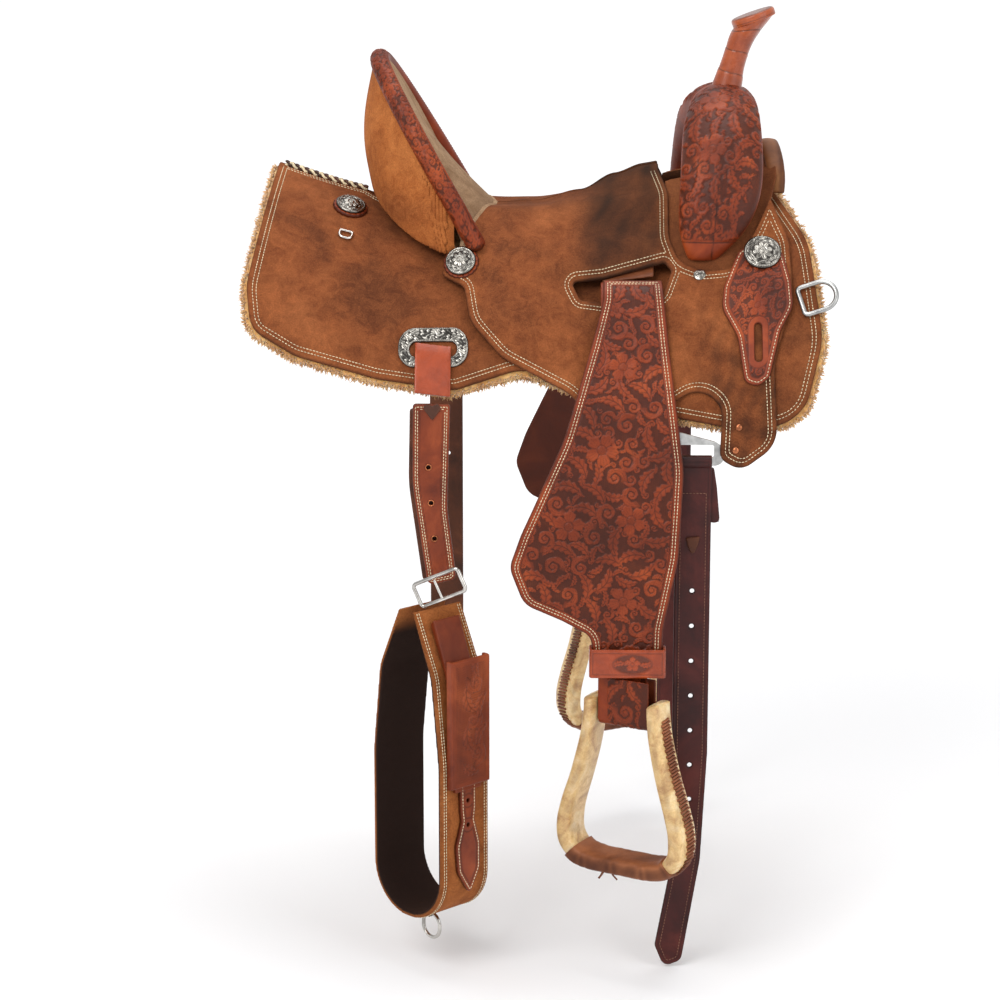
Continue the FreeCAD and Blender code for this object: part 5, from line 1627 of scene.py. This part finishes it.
# ---------------------------------------------------------------- stirrups

STRAP_Y, STIRRUP_TURN = HANG_Y - LEATHER_LIFT - LEATHER - 1.5, math.radians(-30)
STIRRUP_CENTRE = np.array([MID_X, STRAP_Y, 0.0])
STIRRUP_ALONG = np.array([math.cos(STIRRUP_TURN), math.sin(STIRRUP_TURN), 0])
STIRRUP_ACROSS = np.array([-math.sin(STIRRUP_TURN), math.cos(STIRRUP_TURN), 0])


def stirrup_frame(points):
    """Local x, local y and height in the off stirrup's turned frame."""
    away = points - STIRRUP_CENTRE
    return away @ STIRRUP_ALONG, away @ STIRRUP_ACROSS, away[:, 2]


# centre line of the right half of the bell: (x, z, half thickness), from the arm's top to the tread's middle
STIRRUP_ARM = [(43.5, -557, 7.2), (44.5, -578, 7.6), (49, -610, 8.2), (60, -655, 9.2), (73, -697, 10.2),
               (78.5, -724, 11), (76.5, -748, 11.2), (62, -765, 10.4), (40, -770.5, 9.8), (14, -771, 9.6)]
STIRRUP_DEEP = 23.0


def stirrup_space(x, y, z):
    """Local coordinates of the turned off stirrup, to space."""
    x, y, z = np.broadcast_arrays(x, y, z)
    return (STIRRUP_CENTRE + x[..., None] * STIRRUP_ALONG + y[..., None] * STIRRUP_ACROSS
            + z[..., None] * np.array([0, 0, 1.0]))


def bell(count=16):
    """The whole centre line, arm to arm, with its outward direction in the side plane."""
    arm = np.array(STIRRUP_ARM)
    line = flowing(np.vstack([arm, (arm * [-1, 1, 1])[::-1]]), count)
    way = unit(np.gradient(line[:, :2], axis=0))
    return line, np.stack([-way[:, 1], way[:, 0]], -1)


def loft(name, line, out, grow, deep, material, relief, power=0.56, sides=64):
    """A closed bar with a pillowed rectangular section swept along the bell."""
    turn = np.linspace(0, 2 * math.pi, sides, endpoint=False)
    cosine, sine = np.cos(turn), np.sin(turn)
    a = np.sign(cosine) * np.abs(cosine) ** power
    b = np.sign(sine) * np.abs(sine) ** power
    share = np.linspace(-1, 1, len(line))
    close = np.clip((1 - np.abs(share)) / 0.012, 0, 1)
    swell = np.sqrt(1 - (1 - close) ** 2) * 0.75 + 0.25
    lift, dark = relief(np.repeat(np.arange(len(line))[:, None], sides, 1) / len(line), a, b)
    thick = (line[:, 2] + grow)[:, None] * swell[:, None] * a + lift * a
    x, z = line[:, 0][:, None] + out[:, 0][:, None] * thick, line[:, 1][:, None] + out[:, 1][:, None] * thick
    return bar(name, stirrup_space(x, (deep * swell)[:, None] * b + lift * b, z), material, dark)


def stirrup():
    """Rawhide over wood, whip lacing down the arms' outer faces, and a worn leather tread."""
    line, out = bell()
    if (out * (line[:, :2] - [0, -680])).sum() < 0:
        out = -out

    def hide(share, a, b):
        ridge = 0.5 * smooth(1 - np.abs(b) * 6)
        vein = np.sin(share * 61 + 2.3 * b) * np.sin(share * 37 + 3.1 * a)
        dark = 0.22 * smooth(vein * 1.4) + 0.25 * smooth((np.abs(b) - 0.8) * 5)
        return 0.14 * vein + ridge, np.clip(dark, 0, 1)

    body = loft("rawhide_body", line, out, 0.0, STIRRUP_DEEP, RAWHIDE, hide)
    both_sides(body, "rawhide_stirrup", ("stirrup_right", "stirrup_left"), ["stirrup"])

    tubes = []
    run = lengths_along(line[:, :2])
    for first, last in ((22, run[-1] * 0.385), (run[-1] * 0.615, run[-1] - 22)):
        for i, s in enumerate(np.arange(first, last, 4.0)):
            x, z, thick, ox, oz = [np.interp(s, run, values) for values in
                                   (line[:, 0], line[:, 1], line[:, 2], out[:, 0], out[:, 1])]
            width = 10.2 if i % 2 else 8.0
            y = np.array([-1.0, -0.8, -0.4, 0, 0.4, 0.8, 1.0]) * width
            bulge = thick + 0.5 + 1.0 * np.cos(y / width * 1.5)
            slant = 0.10 * y
            path = stirrup_space(x + ox * bulge, y + 1.5, z + oz * bulge + slant)
            tubes.append(tube(f"lace{i}", path, 1.9, LACE, 6, flat=0.9))
    lacing = joined("lacing", tubes)
    both_sides(lacing, "stirrup_lacing", ("stirrup_right", "stirrup_left"))

    def worn(share, a, b):
        fold = np.sin(share * 58 + 2.5 * np.sin(b * 2.3) + 2 * np.sin(share * 23))
        fold *= smooth(np.abs(b) * 1.6 - 0.5)
        dark = 0.3 - 0.45 * smooth(-a * 1.4) + 0.12 * fold + 0.3 * smooth((np.abs(b) - 0.9) * 9)
        return 0.16 * fold, np.clip(dark, 0, 1)

    middle = slice(int(len(line) * 0.345), int(len(line) * 0.655))
    tread = loft("tread", line[middle], out[middle], 2.3, STIRRUP_DEEP + 2.6, TREAD, worn)
    both_sides(tread, "leather_tread", ("stirrup_right", "stirrup_left"),
               ["stirrup_tread_wrap"])
    ends = []
    for i, (x, lean) in enumerate(((-20, -4), (-10, 5))):
        foot = stirrup_space(np.array(x), np.array(-19.0), np.array(-779.0))
        path = [foot + [lean * share, out, down]
                for share, out, down in ((0, 0, 0), (0.3, -1, -2.0), (0.8, -2.5, -5.0), (1.6, -4, -9.0))]
        ends.append(tube(f"end{i}", flowing(path, 5), 1.9, LACE, 6, flat=0.55))
    both_sides(joined("ends", ends), "lace_ends", ("stirrup_right", "stirrup_left"))


def leather_end():
    """The stirrup leather and its tooled end below the keeper, and the tooled keeper."""
    carved = Tooling(1.1).scroll(4, -572, 19, 2.6, 1).leaf(-14, -548, 17, 0.9).leaf(14, -546, 16, 2.2)
    carved.fill(rounded(oval(0, -560, 26, 40, 4)), 0.5, (8, 6, 4.5, 3.2), 4)

    def facing(points, normals):
        return -(normals @ STIRRUP_ACROSS) * (points[:, 2] < -530) * (points[:, 1] < STRAP_Y)

    def flat(points):
        x, _, z = stirrup_frame(points)
        return x, z

    plain = softened("strap", "stirrup_leather_right", TOOLED, 1.25, 3, tooled_push(flat, carved, facing))
    both_sides(plain, "stirrup_strap", ("fender_right", "fender_left"), ["stirrup_leather"])

    band = Tooling(0.9).flower(MID_X + 6, -510, 9.5, 0.3)
    for side in (-1, 1):
        band.leaf(MID_X + 6 + 17 * side, -510, 10, math.pi / 2 * (1 + side) + 0.2)

    def keeper_push(points, normals):
        height, dark = band.relief(points[:, 0], points[:, 2])
        edge = np.minimum(KEEPER_TOP - points[:, 2], points[:, 2] - KEEPER_FOOT)
        edge = np.minimum(edge, KEEPER_HALF - np.abs(points[:, 0] - MID_X))
        show = smooth((-normals[:, 1] - 0.4) / 0.3) * smooth((edge - 4.6) / 0.8)
        rule = smooth((-normals[:, 1] - 0.4) / 0.3) * smooth(1 - np.abs(edge - 4.4) / 0.8)
        reach = np.hypot((points[:, 0] - MID_X - 6) / 24, (points[:, 2] + 510) / 12.5)
        stamp = smooth((1 - reach) * 9)
        ring = smooth(1 - np.abs(reach - 1) * 10) * smooth((-normals[:, 1] - 0.4) / 0.3)
        lift = (height - 0.3) * show * stamp + 0.5 * ring - 0.4 * rule
        return lift, np.clip(0.85 * dark * show * stamp + 0.6 * rule + 0.4 * ring, 0, 1)

    keeper = softened("keeper", "hobble_strap_right", LOOP_LEATHER, 1.0, 4, keeper_push)
    both_sides(keeper, "tooled_keeper", ("fender_right", "fender_left"), ["hobble_strap"])


stirrup()
leather_end()

# ---------------------------------------------------------------- conchos, rosettes, plates and rivets

ROSETTE, ROSETTE_LIFT, CONCHO_LIFT = 3.2, 0.6, 5.3
SEAT_CONCHO, REAR_CONCHO, FRONT_CONCHO = (-88, 38.2), (-232, 24.6), (284, 43)
SCREW, RIVET_PLACES = (207, 44.3), ((253, 74.6), (249, 78.6))


def on_face(height, x, angle, lift):
    """A matrix on a face of the off side: X along the saddle, Y up the slope, Z outwards."""
    around = [(0, 0), (-14, 0), (14, 0), (0, -2.5), (0, 2.5)]
    here, before, ahead, above, below = [side_point(x + dx, angle + da, height(x + dx, angle + da))
                                         for dx, da in around]
    along = unit(ahead - before)
    out = unit(np.cross(along, above - below))
    return placing(along, np.cross(out, along), out, here + out * lift)


def polar(name, matrix, reach, height, dark, material, rings=46, sides=128, depth=1.0):
    """A round piece from height(share, turn) over a disc, closed below; reach(turn) is its rim."""
    shares = np.linspace(0, 1, rings + 1)[1:]
    turns = np.linspace(0, 2 * math.pi, sides, endpoint=False)
    s, t = np.meshgrid(shares, turns, indexing="ij")
    radius = s * reach(t)
    top = np.stack([radius * np.cos(t), radius * np.sin(t), height(s, t)], -1).reshape(-1, 3)
    foot = np.stack([reach(turns) * np.cos(turns), reach(turns) * np.sin(turns), np.full(sides, -depth)], -1)
    points = np.vstack([[[0, 0, float(height(np.zeros(1), np.zeros(1))[0])]], top, foot, [[0, 0, -depth]]])
    faces = []
    for k in range(sides):
        n = (k + 1) % sides
        faces.append((0, 1 + k, 1 + n))
        for ring in range(rings):
            low, high = 1 + ring * sides, 1 + (ring + 1) * sides
            faces.append((low + k, high + k, high + n, low + n))
        faces.append((len(points) - 1, len(points) - 1 - sides + n, len(points) - 1 - sides + k))
    shade = np.concatenate([[0.2], dark(s, t).ravel(), np.full(sides + 1, 0.5)])
    moved = np.hstack([points, np.ones((len(points), 1))]) @ matrix.T
    return solid(name, moved[:, :3], faces, material, shade=shade)


def concho(name, matrix, radius):
    """A domed engraved concho: a berry, a ring of petals, engraved scrolls and a roped edge."""
    def surface(s, t):
        dome = 3.4 * (1 - s ** 2) + 1.2
        petal = np.abs(np.cos(4 * t)) ** 0.6
        berry = 1.7 * np.sqrt(np.clip(1 - (s / 0.2) ** 2, 0, 1))
        berry *= 0.85 + 0.15 * np.cos(t * 8) * np.cos(s * 60)
        leaves = 0.9 * smooth((0.30 + 0.26 * petal - s) / 0.05) * smooth((s - 0.2) / 0.05)
        crease = 0.5 * smooth(1 - np.abs(np.sin(4 * t)) * 5) * (s > 0.22) * (s < 0.55)
        scroll = 0.42 * np.sin(9 * t + 5 * np.sin(s * 22))
        scroll *= smooth((s - 0.58) / 0.04) * smooth((0.84 - s) / 0.04)
        rope = np.exp(-((s - 0.92) / 0.045) ** 2) * (0.7 + 0.4 * np.sin(46 * t + 30 * s))
        return dome, berry, leaves - crease, scroll, rope

    def height(s, t):
        return sum(surface(s, t))

    def dark(s, t):
        _, _, leaves, scroll, rope = surface(s, t)
        middle = smooth((0.45 - leaves) * 2) * ((s > 0.2) & (s < 0.58))
        field = smooth(0.5 - scroll * 2.6) * ((s >= 0.58) & (s < 0.86))
        dark = 0.9 * middle * smooth((s - 0.2) * 30) + 0.9 * field + (s > 0.86) * smooth(0.75 - rope)
        return np.clip(dark, 0, 0.95)

    return polar(name, matrix, lambda t: np.full(np.shape(t), radius), height, dark, SILVER)


def rosette(name, matrix, radius, scallops=18):
    """A scalloped tooled leather rosette."""
    def reach(t):
        return radius * (0.965 + 0.035 * np.abs(np.sin(scallops * t / 2)))

    def height(s, t):
        edge = smooth((1 - s) / 0.06)
        fan = 0.5 * np.abs(np.sin(scallops * t / 2)) * smooth((s - 0.6) / 0.2)
        return ROSETTE * (0.55 + 0.45 * edge) + fan * edge - 0.5

    def dark(s, t):
        return np.clip(0.75 * smooth(1 - np.abs(np.sin(scallops * t / 2)) * 3.5) + 0.8 * (s > 0.95), 0, 0.9)

    return polar(name, matrix, reach, height, dark, TOOLED, 24, 144)


def button(name, matrix, radius, tall, material, slot=False):
    """A low domed rivet or screw head."""
    def height(s, t):
        groove = 0.7 * smooth(1 - np.abs(s * np.sin(t)) * 7) * (s < 0.55) if slot else 0
        step = 0.6 * smooth((s - 0.56) / 0.04) if slot else 0
        return tall * np.sqrt(np.clip(1 - 0.85 * s ** 2, 0, 1)) - groove - step

    def dark(s, t):
        return np.clip((0.8 * smooth(1 - np.abs(s * np.sin(t)) * 7) * (s < 0.55) if slot else 0 * s)
                       + 0.5 * smooth((s - 0.92) * 10), 0, 0.9)

    return polar(name, matrix, lambda t: np.full(np.shape(t), radius), height, dark, material, 18, 40)


SHIELD = [(257, -20, 16), (236, -64, 14), (233, -88, 24), (252, -120, 30), (260, -172, 10), (276, -176, 12),
          (290, -166, 10), (304, -112, 30), (320, -84, 24), (318, -56, 14), (308, -20, 16)]
SHIELD_SLOT = oval(277, -126, 4.5, 22)


def hardware():
    silver = [concho("seat_concho", on_face(seat_height, *SEAT_CONCHO, CONCHO_LIFT + 1.4), 19.0),
              concho("rear_concho", on_face(skirt_height, *REAR_CONCHO, CONCHO_LIFT), 19.0),
              concho("front_concho", on_face(seat_height, *FRONT_CONCHO, CONCHO_LIFT + 1.0), 23.0)]
    both_sides(joined("silver", silver), "engraved_conchos", nodes=["conchos"])
    discs = [rosette("seat_rosette", on_face(seat_height, *SEAT_CONCHO, 1.0), 22.5),
             rosette("rear_rosette", on_face(skirt_height, *REAR_CONCHO, 1.0), 22.5)]
    both_sides(joined("discs", discs), "scalloped_rosettes", nodes=["concho_rosettes"])
    rivets = [button(f"rivet{i}", on_face(seat_height, *place, 0.6), 4.0, 2.2, COPPER)
              for i, place in enumerate(RIVET_PLACES)]
    both_sides(joined("heads", rivets), "copper_rivets", nodes=["rivets"])
    screw = button("screw", on_face(seat_height, *SCREW, 0.6), 7.5, 2.4, SILVER, slot=True)
    both_sides(screw, "silver_screw")

    shield_face = Side(lambda x, a: seat_height(x, a) + ROSETTE_LIFT)
    loops = [Side(seat_height).flat(rounded(shape, 1.6)) for shape in (SHIELD, SHIELD_SLOT)]
    middle = Side(seat_height).flat(np.array([[277.0, -84], [277, -126]]))
    carved = Tooling(0.9).flower(*middle[0], 13, 0.3)
    carved.fill(loops[0], 8, (8, 6, 4.5, 3.2), 12, keep_out=[(*middle[1], 9)])

    def relief(u, v, distance):
        height, dark = carved.relief(u, v)
        field = smooth((distance - 8.0) / 0.8)
        rule = smooth(1 - np.abs(distance - 7.8) / 0.8)
        dark = 0.9 * dark * field + 0.7 * rule + 0.6 * smooth((2 - distance) / 2)
        return height * field - 0.4 * rule - 0.3, np.clip(dark, 0, 1)

    shield = sheet("shield", shield_face, loops, TOOLED, ROSETTE, spacing=3.4, levels=2, relief=relief,
                   edge=1.4)
    both_sides(shield, "tooled_shield", nodes=["slotted_rosette"])
    rows = edge_stitches("rows", shield_face, loops[:1], THREAD, ROSETTE - 0.15, (3.6,))
    both_sides(rows, "shield_stitching")

    middle = side_point(-121, 55.4, 0)
    loops = [Side(lambda x, a: np.full(np.shape(a), 6.1)).flat(rounded(shape, 1.2)) for shape in
             (oval(middle[0], middle[2], 43, 22, 20), oval(middle[0], middle[2] - 2, 29, 8.5, 8))]

    def engraving(u, v, distance):
        wave = np.sin(u * 0.62 + 2.2 * np.sin(v * 0.5)) * np.sin(v * 0.66 + 1.7 * np.sin(u * 0.37))
        field = smooth((distance - 2.6) / 0.5)
        rope = smooth(1 - np.abs(distance - 1.3) / 1.1) * (0.5 + 0.5 * np.sin((u + v) * 2.4))
        dark = 0.85 * smooth(0.6 - wave * 3) * field + 0.7 * (distance < 2.6) * (1 - rope) * 0.8
        return 0.4 * smooth(wave * 3) * field + 0.5 * rope, np.clip(dark, 0, 0.9)

    plate_face = Side(lambda x, a: np.full(np.shape(a), 3.3))
    plate = sheet("plate", plate_face, loops, SILVER, 2.8, spacing=3.0, levels=2, relief=engraving, edge=0.9)
    both_sides(plate, "engraved_plate", nodes=["flank_plate"])


hardware()

# ---------------------------------------------------------------- braided lacing behind the cantle

SKIRT_TOP = ROCKER - RISE - 3.0


def braid():
    """Dark and cream strands braided over the skirts' join."""
    start, end = [math.asin(x / SKIRT_TOP) for x in (-318, -214)]
    turns = np.linspace(start, end, 220)
    run = (turns - start) * SKIRT_TOP
    strands = []
    for k in range(4):
        phase = run / 4.2 + k * math.pi / 2
        side = 6.4 * np.sin(phase)
        rise = 2.0 + 1.3 * np.sin(2 * phase + 0.6) - 0.27 * np.abs(side)
        radius = SKIRT_TOP - rise
        path = np.stack([radius * np.sin(turns), side, ROCKER - radius * np.cos(turns)], -1)
        strands.append(tube(f"strand{k}", path, 2.2, THREAD if k % 2 else DARK_LACE, 8, flat=0.75))
    dark = joined("dark_strands", [strands[0], strands[2]])
    pale = joined("cream_strands", [strands[1], strands[3]])
    for thing in (dark, pale):
        on_body(thing)
    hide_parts("skirt_lacing")


braid()

# ---------------------------------------------------------------- finishes on the part's own metal and wood

FINISHES = {"breast_dee": STEEL, "string_dee": NICKEL, "rigging_plate": STEEL, "stirrup_bolt": STEEL,
            "cinch_ring": NICKEL, "cinch_buckle": NICKEL, "cinch_buckle_tongue": NICKEL, "horn_core": STEEL,
            "tree_bar": WOOD, "tree_fork": TOOLED, "tree_cantle": BACK_SUEDE, "ground_seat": STRAP}


def finish_nodes():
    """Give each node listed in FINISHES its material."""
    for name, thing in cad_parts.items():
        base = name.removesuffix("_right").removesuffix("_left")
        if base in FINISHES:
            thing.data.materials.clear()
            thing.data.materials.append(FINISHES[base])


finish_nodes()

# ---------------------------------------------------------------- floor, light and camera

FLOOR_Z = -0.925


def stage():
    """A wide pale floor that glows more away from the saddle, a painted brightness that keeps the far floor
    white, and soft lights.
    """
    reach = 40 / MM
    corners = [(x * reach, y * reach, FLOOR_Z / MM) for x, y in ((-1, -1), (1, -1), (1, 1), (-1, 1))]
    material, nodes, links, main = shader("pale_floor", 0.8)
    main.inputs["Base Color"].default_value = (0.86, 0.86, 0.87, 1)
    # Painted light: the floor's emission rises from 0 at 1.3 m to 0.4 at 4 m from the saddle.
    main.inputs["Emission Color"].default_value = (1, 1, 1, 1)
    away = nodes.new("ShaderNodeVectorMath")
    away.operation = "LENGTH"
    links.new(object_place(nodes), away.inputs[0])
    glow = nodes.new("ShaderNodeMapRange")
    glow.interpolation_type = "SMOOTHSTEP"
    for socket, value in zip(glow.inputs[1:5], (1.3, 4.0, 0.0, 0.4)):
        socket.default_value = value
    links.new(away.outputs["Value"], glow.inputs["Value"])
    links.new(glow.outputs["Result"], main.inputs["Emission Strength"])
    floor = solid("floor", corners, [(0, 1, 2, 3)], material)
    world = bpy.data.worlds.new("studio")
    world.use_nodes = True
    world.node_tree.nodes["Background"].inputs[0].default_value = (1.0, 1.0, 1.0, 1)
    world.node_tree.nodes["Background"].inputs[1].default_value = 0.75
    bpy.context.scene.world = world
    for name, place, aim, power, width in (("key", (-1.7, -3.0, 2.6), (0, -0.1, -0.1), 95, 2.2),
                                           ("fill", (2.8, -2.4, 1.2), (0, 0, -0.2), 40, 2.6),
                                           ("top", (0.2, 0.4, 3.2), (0, 0, 0), 60, 2.4)):
        data = bpy.data.lights.new(name, "AREA")
        data.energy, data.size = power, width
        lamp = bpy.data.objects.new(name, data)
        lamp.location = place
        lamp.rotation_euler = (Vector(aim) - Vector(place)).to_track_quat("-Z", "Y").to_euler()
        bpy.context.scene.collection.objects.link(lamp)
    bpy.context.scene.view_settings.view_transform = "Standard"
    bpy.context.scene.view_settings.look = "None"


def camera():
    """The photograph's long lens, a little above the saddle and square to its off side."""
    data = bpy.data.cameras.new("camera")
    data.sensor_width, data.lens = 36.0, 106.0
    lens = bpy.data.objects.new("camera", data)
    lens.location = (0.0235, -3.7855, 0.4964)
    lens.rotation_euler = (math.radians(90 - 13.0), 0, math.radians(1.0))
    bpy.context.scene.collection.objects.link(lens)
    bpy.context.scene.camera = lens


stage()
camera()
